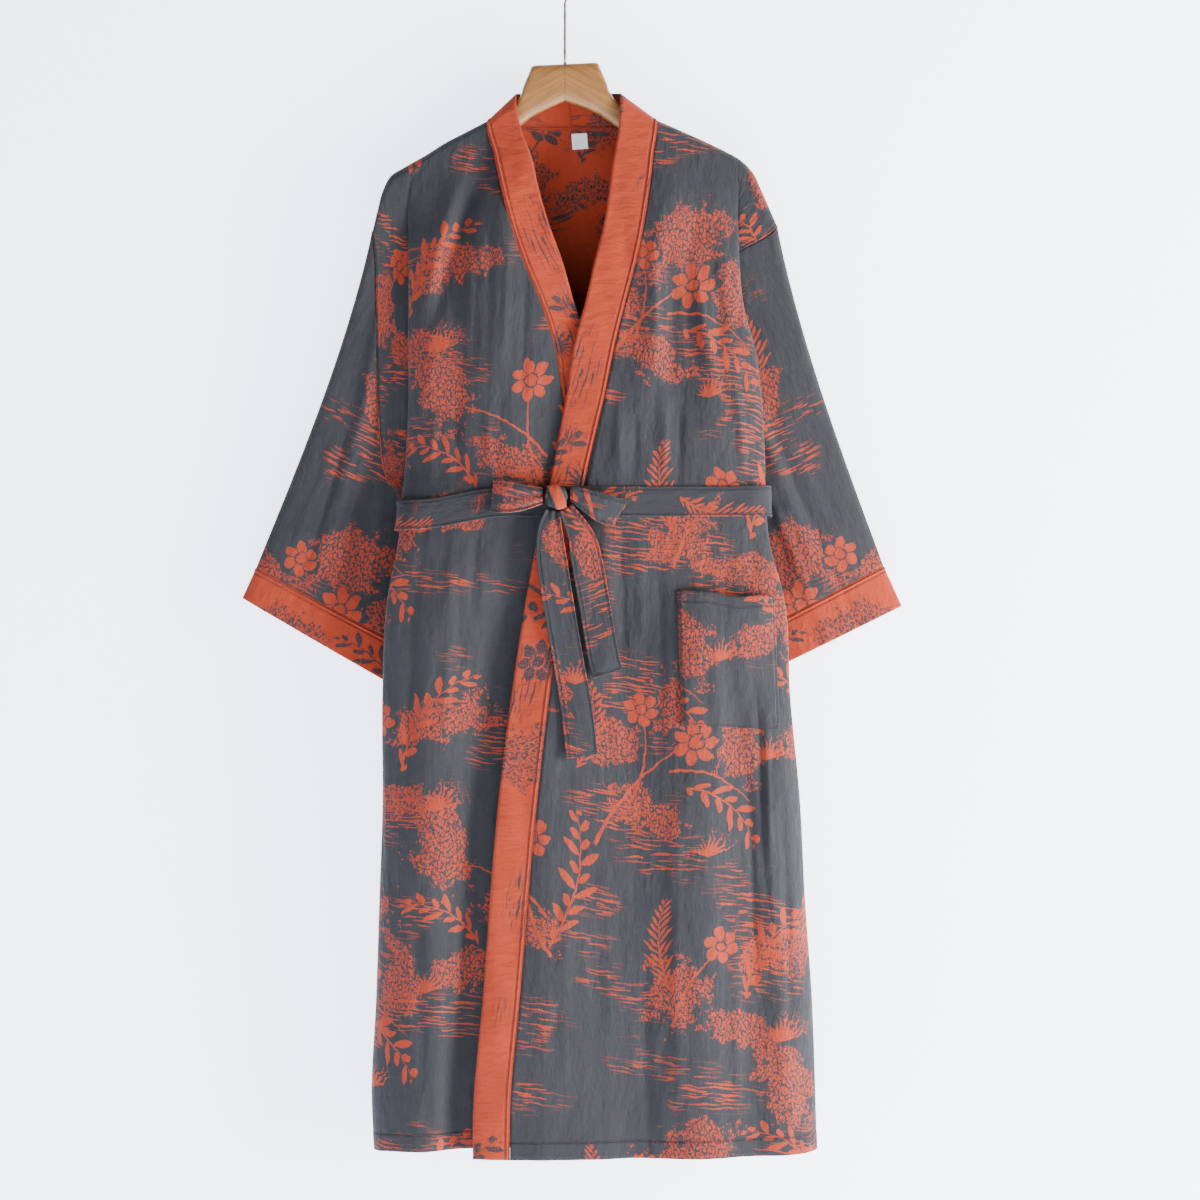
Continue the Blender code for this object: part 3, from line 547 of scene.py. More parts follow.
def over_crest(fall):
    """Depth of cloth that rounds over the hanger's arm, fall below its top."""
    share = np.clip(fall / CREST_RADIUS, 0, 1)
    return CREST_RADIUS * np.sqrt(1 - (1 - share) ** 2)


def crest_fall(depth):
    """How far below the arm's top the rounded cloth has that depth."""
    return CREST_RADIUS - np.sqrt(CREST_RADIUS**2 - depth**2)


def drape(y, fall, side):
    """Depth of cloth that first rounds over the arm, to its front, -1, or its back, 1, and
    then falls away to the depth y."""
    share = ease((fall - 4) / DRAPE_LENGTH)
    return side * over_crest(fall) + (y - side * CREST_RADIUS) * share


def row_shares(armhole_steps, skirt_steps):
    """Shares of the way from the shoulder to the hem: closer together over the crest and at
    the armpit, then even to the hem."""
    length = HEM["over"][-1] - SHOULDER_LEFT[-1][1]
    armhole = (ARMPIT_DOWN - SHOULDER_LEFT[-1][1]) / length
    turn = np.linspace(0, math.pi, armhole_steps + 1)
    upper = armhole * (1 - np.cos(turn)) / 2
    crest = upper[1] * np.array((0.06, 0.22, 0.5))
    upper = np.concatenate([upper[:1], crest, upper[1:]])
    skirt = np.linspace(armhole, 1, skirt_steps + 1)[1:]
    return np.concatenate([upper, skirt]), len(upper)


ROWS, ARMHOLE_ROWS = row_shares(96, 190)


def front_columns(before, beyond):
    """Places across a front: even up to its side fold, and even again beyond it."""
    return np.concatenate([
        np.linspace(0, FOLD_SHARE, before + 1), np.linspace(FOLD_SHARE, 1, beyond + 1)[1:],
    ])


COLUMNS = front_columns(124, 26)


def front_points(side, across, rows):
    """The front panel of one side as a grid of points: across runs from the band's seam, 0,
    to the side seam, 1, and rows from the shoulder, 0, to the hem, 1."""
    across, rows = np.meshgrid(across, rows)
    layer, sign = sided(side)
    before = np.clip(across / FOLD_SHARE, 0, 1)
    top_x, top_down = shoulder(side, mix(FOLD_TOP * before, 1, fold_excess(across)))
    hem = spline(HEM["across"], HEM[layer], top_x * 1.15)
    down = mix(top_down, hem, rows)
    fall = down - top_down
    x, y = front_section(sign, layer, across, down)
    x = mix(top_x, x, ease(fall / COLUMN_SETTLE))
    if layer == "under":
        y = y + under_inset(x, down)
    y = drape(y, fall, -1) - flap_gap(down)
    return np.stack([x, y, -down], -1)


def neck_line(side_x, middle_x, share, depth):
    """(x, y) of a line round the back of the neck: share runs from 1 at the shoulder, back
    over the arm at 0.75, and round to 0 at the middle."""
    turn = np.clip(share / 0.75, 0, 1) * math.pi / 2
    corner = NECK_CORNER * np.clip((1 - share) / 0.25, 0, 1)
    x = middle_x + (side_x - middle_x) * np.sin(turn)
    return x, corner + (depth - NECK_CORNER) * np.cos(turn) ** 0.8 * (share < 0.75)


def back_points(across, rows):
    """The back as a grid of points: across runs from -1 at the right side seam to 1 at the
    left one, with the neck between -NECK_SHARE and NECK_SHARE."""
    across, rows = np.meshgrid(across, rows)
    outer = np.clip((np.abs(across) - NECK_SHARE) / (1 - NECK_SHARE), 0, 1)
    neck = np.clip(across / NECK_SHARE, -1, 1)
    on_left = across > 0
    left, right = shoulder("left", outer), shoulder("right", outer)
    side_x, side_down = np.where(on_left, left[0], right[0]), np.where(on_left, left[1], right[1])
    middle_x = (SHOULDER_LEFT[0][0] + SHOULDER_RIGHT[0][0]) / 2
    top_x, top_y = neck_line(side_x, middle_x, np.abs(neck), NECK_DEPTH)
    on_crest = crest_fall(np.minimum(top_y, NECK_CORNER))
    top_down = side_down + on_crest
    hem = spline(HEM["across"], HEM["back"], top_x)
    down = mix(top_down, hem, rows)
    fall = down - top_down
    middle, half = back_halves(down)
    reach = neck * NECK_REACH + np.sign(across) * (1 - NECK_REACH) * outer
    x = mix(top_x, middle + (half - TURNED_GAP) * reach, ease(fall / COLUMN_SETTLE))
    y = back_y(x, down)
    beyond = np.maximum(top_y - NECK_CORNER, 0) * (1 - ease(fall / DRAPE_LENGTH))
    y = drape(y, fall + on_crest, 1) + beyond + flap_gap(down)
    return np.stack([x, y, -down], -1)


def normals(points, closed=False):
    """Unit normals of a grid of points: across the rows, crossed with down the columns."""
    if closed:
        wrapped = np.concatenate([points[:, -1:], points, points[:, :1]], 1)
        along = np.gradient(wrapped, axis=1)[:, 1:-1]
    else:
        along = np.gradient(points, axis=1)
    turned = np.cross(along, np.gradient(points, axis=0))
    size = np.linalg.norm(turned, axis=2, keepdims=True)
    return turned / np.maximum(size, 1e-9)


def front_at(side, across, down):
    """Points of a front at its own depths down, below the shoulders' drape."""
    layer, sign = sided(side)
    x, y = front_section(sign, layer, across, down)
    if layer == "under":
        y = y + under_inset(x, down)
    return np.stack([x, y - flap_gap(down), -down], -1)


def back_at(across, down):
    """Points of the back at its own depths down, below the shoulders' drape."""
    middle, half = back_halves(down)
    x = middle + (half - TURNED_GAP) * across
    return np.stack([x, back_y(x, down) + flap_gap(down), -down], -1)


def band_points(side, rows, turns, places):
    """A front's band with its half of the collar: rows from the hem up over the shoulder and
    round the neck to the middle of the back; places run from the seam, 0, to the free edge."""
    layer, sign = sided(side)
    panel = front_points(side, np.zeros(1), rows)[:, 0]
    down = -panel[:, 2]
    fall = down - down[0]
    inner_down = down - BAND_RISE * np.clip(1 - fall / BAND_RISE_REACH, 0, 1) ** 1.5
    settled = ease(fall / BAND_RISE_REACH)
    inner_x = mix(COLLAR[side], edge(layer + "_inner", inner_down), ease(fall / 60))
    flat = front_y(inner_x, inner_down)
    if layer == "under":
        flat = flat + under_inset(inner_x, inner_down)
    inner_y = mix(-1.2 * over_crest(fall), flat, settled) - TURNED_GAP / 2
    inner = np.stack([inner_x, inner_y, -inner_down], -1)

    turn = np.linspace(1, 0, turns + 1)[1:]
    seam_back = back_points(sign * turn * NECK_SHARE, np.zeros(1))[0]
    middle_x = (COLLAR["left"] + COLLAR["right"]) / 2
    top_x, top_y = neck_line(COLLAR[side], middle_x, turn, COLLAR["depth"])
    top_down = mix(COLLAR["back_down"], inner_down[0], turn**2)
    top_edge = np.stack([top_x, top_y, -top_down], -1)

    seam = np.concatenate([panel[::-1], seam_back])
    free = np.concatenate([inner[::-1], top_edge])
    across = free - seam
    across = across / np.linalg.norm(across, axis=1, keepdims=True)
    standing = np.concatenate([1 - settled[::-1], np.ones(turns)])
    seam = seam + across * mix(SEAM_GAP, -COLLAR_OVERLAP, standing)[:, None]
    grid = seam[:, None] + (free - seam)[:, None] * places[None, :, None]
    lower = slice(0, len(panel))
    level = -grid[lower, :, 2]
    fitted = front_y(grid[lower, :, 0], level) - TURNED_GAP / 2
    if layer == "under":
        fitted = fitted + under_inset(grid[lower, :, 0], level)
    grid[lower, :, 1] = mix(grid[lower, :, 1], fitted, settled[::-1][:, None])
    grid[-1, :, 0] -= sign * SEAM_GAP
    return grid


def sleeve_start(side):
    """The armhole as a ring of points: down the front's edge and up the back's. Where the
    front turns back, the sleeve leaves from behind it."""
    sign = 1 if side == "left" else -1
    rows = ROWS[:ARMHOLE_ROWS]
    front = front_points(side, np.ones(1), rows)[:, 0]
    back = back_points(np.array([float(sign)]), rows)[:, 0]
    turned = ease((turn_back(sign, -front[:, 2]) - math.pi / 2) / math.radians(14))[:, None]
    beside, behind = np.array((sign * TURNED_GAP, 0, 0)), np.array((0, WALL + SEAM_GAP, 0))
    nearer = 1 + np.linspace(0, 1, len(rows))[:, None] ** 2
    top = (front[0] + back[0]) / 2 + beside
    bottom = (front[-1] + back[-1]) / 2 + 2 * beside + behind - (0, 0, 1)
    front = front + beside * (1 - turned / 2) + behind * turned
    back = back + beside * nearer
    return np.concatenate([[top], front[1:-1], [bottom], back[-2:0:-1]])


def cuff_ring(ends):
    """A flat loop from the outer end to the inner end and back, as deep as the sleeve."""
    outer, inner = (np.array((x, y, -down), float) for x, down, y in ends)
    rows = ROWS[:ARMHOLE_ROWS] / ROWS[ARMHOLE_ROWS - 1]
    share = np.concatenate([rows, rows[-2:0:-1]])
    front = np.arange(len(share)) < len(rows)
    ring = mix(outer, inner, share[:, None])
    turn = np.arccos(1 - 2 * np.clip(share, 0, 1))
    ring[:, 1] += np.where(front, -1, 1) * SLEEVE_HALF_DEPTH * np.sin(turn)
    return ring, share, front


def sleeve_points(side, steps):
    """The sleeve: rings from the armhole to the cuff seam. Each point runs straight from its
    place on the armhole to its place on the cuff, but the outer fold bows in and the cloth
    by the underarm soon falls behind the body."""
    start = sleeve_start(side)
    end, share, front = cuff_ring(SLEEVES[side]["seam"])
    along = np.linspace(0, 1, steps + 1)[:, None]
    points = mix(start, end, along[..., None])
    settled = 1 - (1 - along) ** (1 + 2.5 * share**2)
    points[..., 1] = mix(start[:, 1], end[:, 1], settled)
    points[..., 0] += SLEEVES[side]["bow"] * np.sin(math.pi * along**0.8) * (1 - share)
    tucked = UNDERARM_TUCK[side] * np.sin(math.pi * along) ** 0.6 * (1 - along) ** 0.5
    points[..., 0] += tucked * share**6
    swell = np.sin(math.pi * along) * np.sin(math.pi * share)
    points[..., 1] += np.where(front, 0, 6) * swell
    for from_share, from_along, to_share, to_along, half_width, height in SLEEVE_CREASES:
        way = (along - from_along) / (to_along - from_along)
        middle = mix(from_share, to_share, np.clip(way, 0, 1))
        taper = np.sin(math.pi * np.clip(way, 0, 1)) ** 0.6
        fold = SLEEVE_CREASE_SCALE * height * taper * np.exp(-(((share - middle) / half_width) ** 2))
        points[..., 1] -= np.where(front, fold, -fold) * np.sin(math.pi * share)
    fine = crinkles(SLEEVE_CRINKLES[side], points[..., 0], -points[..., 2])
    fine = fine * np.sin(math.pi * along) ** 0.5 * np.sin(math.pi * share)
    points[..., 1] -= np.where(front, fine, -fine)
    return points


def with_allowance(points, out):
    """A tube with a seam allowance: two more rings that step in under the next piece."""
    inwards = -normals(points, closed=True)[-1] * out
    ahead = points[-1] - points[-2]
    ahead = ahead / np.linalg.norm(ahead, axis=1, keepdims=True)
    more = [points[-1] + ahead * far + inwards * deep for far, deep in SLEEVE_ALLOWANCE]
    return np.concatenate([points, more])


def cuff_points(side, places):
    """The cuff: rings at places from just past the sleeve's last one, 0, to its free edge, 1."""
    last = sleeve_points(side, 8)[-1]
    run = cuff_ring(SLEEVES[side]["edge"])[0] - cuff_ring(SLEEVES[side]["seam"])[0]
    first = last + run / np.linalg.norm(run, axis=1, keepdims=True) * SEAM_GAP
    return first + (last + run - first) * places[:, None, None]


def pocket_points(steps):
    """The patch pocket: a grid on the left front, moved out, and bulging at its mouth."""
    share = np.linspace(0, 1, steps + 1)
    wide, deep = np.meshgrid(share, share)
    x = mix(POCKET["left"], POCKET["right"], wide)
    down = mix(POCKET["top"], POCKET["bottom"], deep) + (x - POCKET["left"]) * POCKET["slope"]
    x = x + (down - POCKET["top"]) * POCKET["lean"]
    points = np.stack([x, front_y(x, down) - flap_gap(down), -down], -1)
    bulge = POCKET_BULGE * np.sin(math.pi * wide) ** 0.8 * np.cos(deep * math.pi / 2)
    dent = 2.4 * np.exp(-(((wide - 0.38) / 0.16) ** 2) - ((deep - 0.25) / 0.3) ** 2)
    points = points - normals(points) * (WALL + 0.35 + bulge - dent * (bulge > dent))[..., None]
    sag = POCKET_SAG * np.exp(-(((wide - 0.60) / 0.20) ** 2)) * (1 - deep) ** 3
    return points - sag[..., None] * np.array((0, 0, 1.0))


def label_points(steps):
    """The blank size label, on the inside of the back just below the collar's seam."""
    x, fall = np.meshgrid(
        np.linspace(LABEL["left"], LABEL["right"], steps), np.linspace(0, LABEL["height"], steps)
    )
    neck = back_points(np.zeros(1), np.zeros(1))[0, 0]
    down = LABEL["top"] - neck[2] + fall - (x - LABEL["left"]) * 0.06
    x = x + fall * 0.08
    below = np.maximum(down + neck[2], 0)
    settled = ease((below + 10 - 4) / DRAPE_LENGTH)
    y = CREST_RADIUS + (back_y(x, down) - CREST_RADIUS) * settled
    y = y + (NECK_DEPTH - NECK_CORNER) * (1 - ease(below / DRAPE_LENGTH)) + flap_gap(down)
    return np.stack([x, y - WALL / 2 - 0.9 + 0.3 * np.sin(fall / 4), -down], -1)


def belt_middle(x):
    """How far down the middle of the belt lies, sagging to the right side."""
    return BELT_DOWN + BELT_SIDE_SAG * ease((-x - 60) / 120)


def below_belt(surface, across, step):
    """Points of a surface at places across it, a step below the middle of the belt."""
    level = surface(across, np.full(len(across), float(BELT_DOWN)))
    return surface(across, belt_middle(level[:, 0]) + step)


def belt_points(steps):
    """The belt round the waist, over the left front, the back, the right front and the over
    band, moved out from them."""
    over_x = np.linspace(edge("over_inner", BELT_DOWN) + 1, edge("over_seam", BELT_DOWN), 24)
    rings = []
    for step in np.linspace(-0.5, 0.5, steps + 1) * BELT_WIDTH:
        left = below_belt(functools.partial(front_at, "left"), np.linspace(0, 1, 120), step)
        behind = below_belt(back_at, np.linspace(0.99, -0.99, 160), step)
        right = below_belt(functools.partial(front_at, "right"), np.linspace(1, 0, 120), step)
        right = right[right[:, 0] < edge("over_inner", BELT_DOWN) - 8]
        down = np.full(24, float(BELT_DOWN)) + step
        over = np.stack([over_x, front_y(over_x, down) - TURNED_GAP / 2, -down], -1)
        rings.append(np.concatenate([left[1:], behind, right, over]))
    shortest = min(len(ring) for ring in rings)
    rings = np.array([ring[-shortest:] for ring in rings])
    middle, half = body_halves(BELT_DOWN)
    lift = WALL + 0.3 + 4 * ease((np.abs(rings[..., :1] - middle) - half + 50) / 40)
    return rings - normals(rings, closed=True) * lift


def along_rows(rows, share):
    """Each column of a table, as a smooth curve through its evenly spaced rows."""
    return (spline(np.linspace(0, 1, len(rows)), column, share) for column in zip(*rows))


def tail_points(rows, steps, places):
    """A hanging end of the belt: a strip along its middle line, off the front of the robe."""
    run = np.linspace(0, 1, steps + 1)
    middle, down, lift, half = along_rows(rows, run)
    ahead = np.gradient(np.stack([middle, down], -1), axis=0)
    ahead /= np.linalg.norm(ahead, axis=1, keepdims=True)
    side = np.linspace(-1, 1, places + 1)[None, :] * half[:, None]
    x = middle[:, None] + ahead[:, 1:] * side
    level = down[:, None] - ahead[:, :1] * side
    share = side / half[:, None]
    pleat = PLEAT_HEIGHT * np.cos(share * 7) * np.exp(-run[:, None] * 9)
    curl = 1.2 * np.sin(run[:, None] * 9 + 2 * share) * run[:, None]
    y = front_y(x, level, folded=False) - WALL - lift[:, None] - pleat - curl
    return np.stack([x, y, -level], -1)


def loop_points(rows, steps, places):
    """A loop of the bow: the strip goes out from the knot, turns at its end and comes back
    behind itself."""
    turn = np.linspace(0, math.pi, steps + 1)
    out = np.sin(turn) ** 0.8
    across, down, half, depth, lean = along_rows(rows, out)
    y = front_y(across, down, folded=False) - WALL - LOOP_LIFT - depth * np.cos(turn)
    height = np.linspace(-1, 1, places + 1)
    level = down[:, None] + half[:, None] * height
    x = across[:, None] - lean[:, None] * height
    pleat = PLEAT_HEIGHT * np.cos(height * 7 + 0.6) * (1 - out[:, None]) ** 1.3
    return np.stack([x, y[:, None] + pleat, -level], -1)


def knot_points(steps):
    """The knot: a squared ball in rings from its top to its bottom, with the turn of the belt
    that lies over it as a raised, leaning strap, and small pleats along that."""
    tall, around = np.meshgrid(
        np.linspace(0.12, math.pi - 0.12, steps + 1),
        np.linspace(0, 2 * math.pi, 4 * steps, endpoint=False), indexing="ij",
    )
    ball = np.stack([
        np.sin(tall) * np.sin(around), -np.sin(tall) * np.cos(around), np.cos(tall),
    ], -1)
    beside = ball[..., 0] + KNOT_LEAN * ball[..., 2] * (1 + 0.3 * ball[..., 2])
    strap = ease((beside + 0.40) / 0.10) * ease((0.62 - beside) / 0.10)
    pleats = 0.045 * np.cos(beside * 19 + 3 * ball[..., 2]) * (1 - 0.4 * strap)
    ball = ball * (0.74 + 0.21 * strap + pleats)[..., None]
    half = np.array(KNOT["half"])
    base = front_y(np.array(float(KNOT["across"])), np.array(float(KNOT["down"])))
    centre = np.array((KNOT["across"], float(base) - 4.3 - half[1], -KNOT["down"]))
    return centre + np.sign(ball) * np.abs(ball) ** 0.7 * half


def spread(points):
    """Pattern coordinates of a grid in millimetres: the run along each row from its first
    point, and the run down each column."""
    along = np.linalg.norm(np.diff(points, axis=1), axis=2)
    along = np.concatenate([np.zeros((len(points), 1)), np.cumsum(along, 1)], 1)
    down = np.linalg.norm(np.diff(points, axis=0), axis=2)
    down = np.concatenate([np.zeros((1, points.shape[1])), np.cumsum(down, 0)], 0)
    return along, down


def grid_faces(rows, columns, closed):
    """Quads of a grid whose points are counted along its rows."""
    last = columns if closed else columns - 1
    row, column = np.meshgrid(np.arange(rows - 1), np.arange(last), indexing="ij")
    here = row * columns + column
    beside = row * columns + (column + 1) % columns
    return np.stack([here, beside, beside + columns, here + columns], -1).reshape(-1, 4)


def added(name, data):
    """A new object of the scene."""
    made = bpy.data.objects.new(name, data)
    bpy.context.scene.collection.objects.link(made)
    return made


def place(name, mesh, finish, node):
    """A piece of the robe on its body, in place of a CAD node, with its finish's material."""
    made = added(name, mesh)
    mesh.materials.append(finish.material)
    mesh.shade_smooth()
    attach(made, "root")
    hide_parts(node)
    return made


def say_sheet(points, closed):
    """Works out the size that a piece of cloth was cut to: its longest runs across and along the
    grid, and the area of all its cells. It gives none of them out."""
    along, down = spread(points)
    wide = along[:, -1].max()
    if closed:
        wide = wide + np.linalg.norm(points[:, -1] - points[:, 0], axis=1).max()
        points = np.concatenate([points, points[:, :1]], 1)
    cells = np.linalg.norm(np.cross(
        points[1:, 1:] - points[:-1, :-1], points[:-1, 1:] - points[1:, :-1],
    ), axis=-1) / 2


def mesh_of(name, points, faces):
    mesh = bpy.data.meshes.new(name)
    mesh.from_pydata((points.reshape(-1, 3) * MM).tolist(), [], faces)
    return mesh


def cloth(name, points, finish, uv, stitches, out, closed=False, wall=WALL,
          turned=0, doubled=False, raised=0.0):
    """The cloth in place of a CAD node, from a grid of middle points: two faces, each half of
    the wall along the normals from the middle, and a rim of quads round every open edge. out
    is 1 where the rows crossed with the columns point outwards, else -1. raised lifts the
    outer face alone.

    uv is the pattern's (across, up) in metres, stitches the signed distance from each of up to
    two lines of stitches with the run along it, and turned is 1 where the outer face shows the
    reverse of the weave. The other face shows the opposite, unless the piece is doubled.
    """
    rows, columns = points.shape[:2]
    outwards = normals(points, closed) * out
    lift = np.broadcast_to(wall / 2 + raised, (rows, columns))[..., None]
    both = np.concatenate([
        (points + outwards * lift).reshape(-1, 3), (points - outwards * wall / 2).reshape(-1, 3),
    ])
    count = rows * columns
    grid = np.arange(count).reshape(rows, columns)
    rims = [grid[0], grid[-1, ::-1]]
    if closed:
        rims = [np.append(rim, rim[0]) for rim in rims]
    else:
        rims += [grid[:, -1], grid[::-1, 0]]
    outer = grid_faces(rows, columns, closed)
    rim = np.concatenate([
        np.stack([line[1:], line[:-1], line[:-1] + count, line[1:] + count], -1) for line in rims
    ])
    faces = np.concatenate([outer, outer[:, ::-1] + count, rim])
    mesh = mesh_of(name + "_cloth", both, (faces if out > 0 else faces[:, ::-1]).tolist())
    pairs = []
    for first, second in (uv, *stitches):
        pair = np.stack([np.broadcast_to(first, (rows, columns)).ravel(),
                         np.broadcast_to(second, (rows, columns)).ravel()], -1)
        pairs.append(np.concatenate([pair, pair]))
    other = turned if doubled else 1 - turned
    drawn_on(mesh, pairs, np.repeat([float(turned), float(other)], count))
    made = place(name + "_cloth", mesh, finish, name)
    say_sheet(points, closed)


def drawn_on(mesh, pairs, turned):
    """Gives a mesh the cloth's UV maps, from a pair of values for each point, with the lines
    of stitches that it lacks far away, and the attribute that says which side of the weave
    shows."""
    loops = np.empty(len(mesh.loops), np.int32)
    mesh.loops.foreach_get("vertex_index", loops)
    pairs = pairs + [np.ones((len(mesh.vertices), 2))] * (3 - len(pairs))
    for title, pair in zip(("cloth", "stitch_a", "stitch_b"), pairs):
        layer = mesh.uv_layers.new(name=title)
        layer.data.foreach_set("uv", pair[loops].astype(np.float32).ravel())
    side = mesh.attributes.new("turned", "FLOAT", "POINT")
    side.data.foreach_set("value", np.asarray(turned, np.float32))


def ridge(away, middle, half_width, height):
    """A bell of that height about a distance from an edge."""
    return height * np.exp(-(((away - middle) / half_width) ** 2))


def folded_edge(away, width, height):
    """A turned-under edge: the outer face stands higher up to that distance from it."""
    return height * ease((width - away) / 2 + 0.5)


def by_node(kind):
    """An operator of Value that is worked out by that kind of math node."""
    return lambda value, *others: value.math(kind, *others)


class Value:
    """A socket of a material's nodes, so that sums on it read as an expression."""

    def __init__(self, nodes, socket):
        self.nodes, self.socket = nodes, socket

    def math(self, kind, *others):
        return self.nodes.node("ShaderNodeMath", {"operation": kind}, dict(enumerate((self, *others))))

    __add__ = __radd__ = by_node("ADD")
    __sub__ = by_node("SUBTRACT")
    __mul__ = __rmul__ = by_node("MULTIPLY")
    __truediv__ = by_node("DIVIDE")
    __abs__ = by_node("ABSOLUTE")
    # Two masks: the larger of them, or both at once.
    __or__ = by_node("MAXIMUM")
    __and__ = __mul__

    def __rsub__(self, other):
        return self.nodes.node("ShaderNodeMath", {"operation": "SUBTRACT"}, {0: other, 1: self})

    def __neg__(self):
        return self.math("MULTIPLY", -1.0)

    def below(self, limit, soft):
        """1 where this is under limit, 0 over it, and smooth for soft to each side."""
        return self.ramp(limit + soft, limit - soft)

    def above(self, limit, soft):
        return self.ramp(limit - soft, limit + soft)

    def ramp(self, start, end):
        """A smooth step from 0 at start to 1 at end."""
        return self.nodes.node("ShaderNodeMapRange", {"interpolation_type": "SMOOTHSTEP"}, {
            "Value": self, "From Min": start, "From Max": end,
        })


class Nodes:
    """A material's nodes around its Principled BSDF."""

    def __init__(self, name):
        self.material = bpy.data.materials.new(name)
        self.material.use_nodes = True
        self.tree = self.material.node_tree
        self.shader = self.tree.nodes["Principled BSDF"]

    def node(self, kind, settings, inputs, output=0):
        """Any node: its settings, then its sockets' values or links, and one output."""
        made = self.tree.nodes.new(kind)
        for name, value in settings.items():
            setattr(made, name, value)
        for name, value in inputs.items():
            self.put(made.inputs[name], value)
        return Value(self, made.outputs[output])

    def put(self, socket, value):
        if isinstance(value, Value):
            self.tree.links.new(value.socket, socket)
        else:
            socket.default_value = value

    def surface(self, **inputs):
        for name, value in inputs.items():
            self.put(self.shader.inputs[name.replace("_", " ")], value)
        return self.material

    def uv(self, title):
        """The two coordinates of a UV map."""
        found = self.node("ShaderNodeUVMap", {"uv_map": title}, {})
        return self.parts(found)[:2]

    def parts(self, vector):
        split = self.tree.nodes.new("ShaderNodeSeparateXYZ")
        self.put(split.inputs[0], vector)
        return [Value(self, output) for output in split.outputs]

    def place(self):
        return self.node("ShaderNodeTexCoord", {}, {}, "Object")

    def vector(self, x, y, z=0.0):
        return self.node("ShaderNodeCombineXYZ", {}, {0: x, 1: y, 2: z})

    def noise(self, where, scale=1.0, detail=2.0, rough=0.5):
        return self.node("ShaderNodeTexNoise", {"noise_dimensions": "2D"}, {
            "Vector": where, "Scale": scale, "Detail": detail, "Roughness": rough,
        })

    def grain(self, x, y, z=0.0, detail=2, rough=0.5):
        """Noise on coordinates of their own, such as stretched ones."""
        return self.noise(self.vector(x, y, z), 1, detail, rough)

    def mixed(self, first, second, share):
        """A colour between two, given as a share."""
        mixer = self.tree.nodes.new("ShaderNodeMix")
        mixer.data_type = "RGBA"
        for name, value in (("Factor_Float", share), ("A_Color", first), ("B_Color", second)):
            socket = next(item for item in mixer.inputs if item.identifier == name)
            self.put(socket, value)
        return Value(self, next(o for o in mixer.outputs if o.identifier == "Result_Color"))

    def darker(self, colour, amount):
        """A colour times a number."""
        return self.node("ShaderNodeVectorMath", {"operation": "SCALE"}, {0: colour, "Scale": amount})

    def bump(self, height, distance, strength=1.0, below=None):
        inputs = {"Height": height, "Distance": distance, "Strength": strength}
        if below is not None:
            inputs["Normal"] = below
        return self.node("ShaderNodeBump", {}, inputs)


SLATE = (0.0232, 0.0230, 0.0252, 1)
ORANGE = (0.305, 0.0310, 0.0082, 1)
OFF_WHITE, STAINED = (0.82, 0.81, 0.78, 1), (0.74, 0.72, 0.68, 1)
PALE_WOOD, BROWN_WOOD = (0.29, 0.132, 0.034, 1), (0.165, 0.063, 0.013, 1)
NICKEL, BROWNED = (0.42, 0.38, 0.31, 1), (0.20, 0.16, 0.12, 1)
REPEAT = (0.40, 0.52)
HEM_WIDTH = 20
TURNED_HEIGHT = 0.5
EDGE_STITCHES = 3
EDGING_STITCHES = (1.2, 5.5)
# The piping of the bands and cuffs: its distance from the seam, half-width and height.
PIPING = (3.2, 1.4, 0.9)

# The figure of the cloth, in metres, about three points of a half-drop repeat.
ANCHORS = {"bough": (0.12, 0.10), "spray": (0.31, 0.22), "low": (0.20, 0.39)}
# Masses: anchor, across, up, width, height, degrees.
MASSES = (
    ("bough", 0.020, 0.082, 0.058, 0.034, 24),
    ("bough", -0.062, 0.030, 0.034, 0.027, -15),
    ("bough", 0.082, 0.020, 0.028, 0.040, 10),
    ("bough", -0.022, -0.050, 0.046, 0.022, -28),
    ("spray", -0.052, 0.050, 0.031, 0.050, 20),
    ("spray", 0.035, -0.034, 0.050, 0.020, -24),
    ("spray", -0.030, -0.088, 0.034, 0.020, 10),
    ("low", 0.060, 0.025, 0.062, 0.023, 14),
    ("low", -0.068, -0.020, 0.036, 0.034, 60),
    ("low", 0.010, -0.066, 0.056, 0.018, -8),
)
# Flowers: anchor, across, up, size, petals.
BLOSSOMS = (
    ("bough", 0.030, 0.030, 0.027, 7),
    ("bough", -0.032, 0.070, 0.021, 6),
    ("spray", 0.052, 0.058, 0.025, 7),
    ("low", -0.020, 0.030, 0.022, 6),
)
# Stems: anchor, start, end, how far it bows, thickness.
STEMS = (
    ("bough", (-0.085, -0.085), (0.030, 0.035), 0.016, 0.0021),
    ("bough", (-0.045, -0.035), (-0.032, 0.065), -0.010, 0.0015),
    ("bough", (0.000, 0.000), (0.095, -0.040), 0.012, 0.0014),
    ("spray", (0.075, -0.075), (0.052, 0.050), 0.014, 0.0018),
    ("spray", (0.070, -0.030), (-0.050, 0.030), -0.018, 0.0015),
    ("low", (-0.075, -0.060), (-0.020, 0.025), 0.010, 0.0017),
)
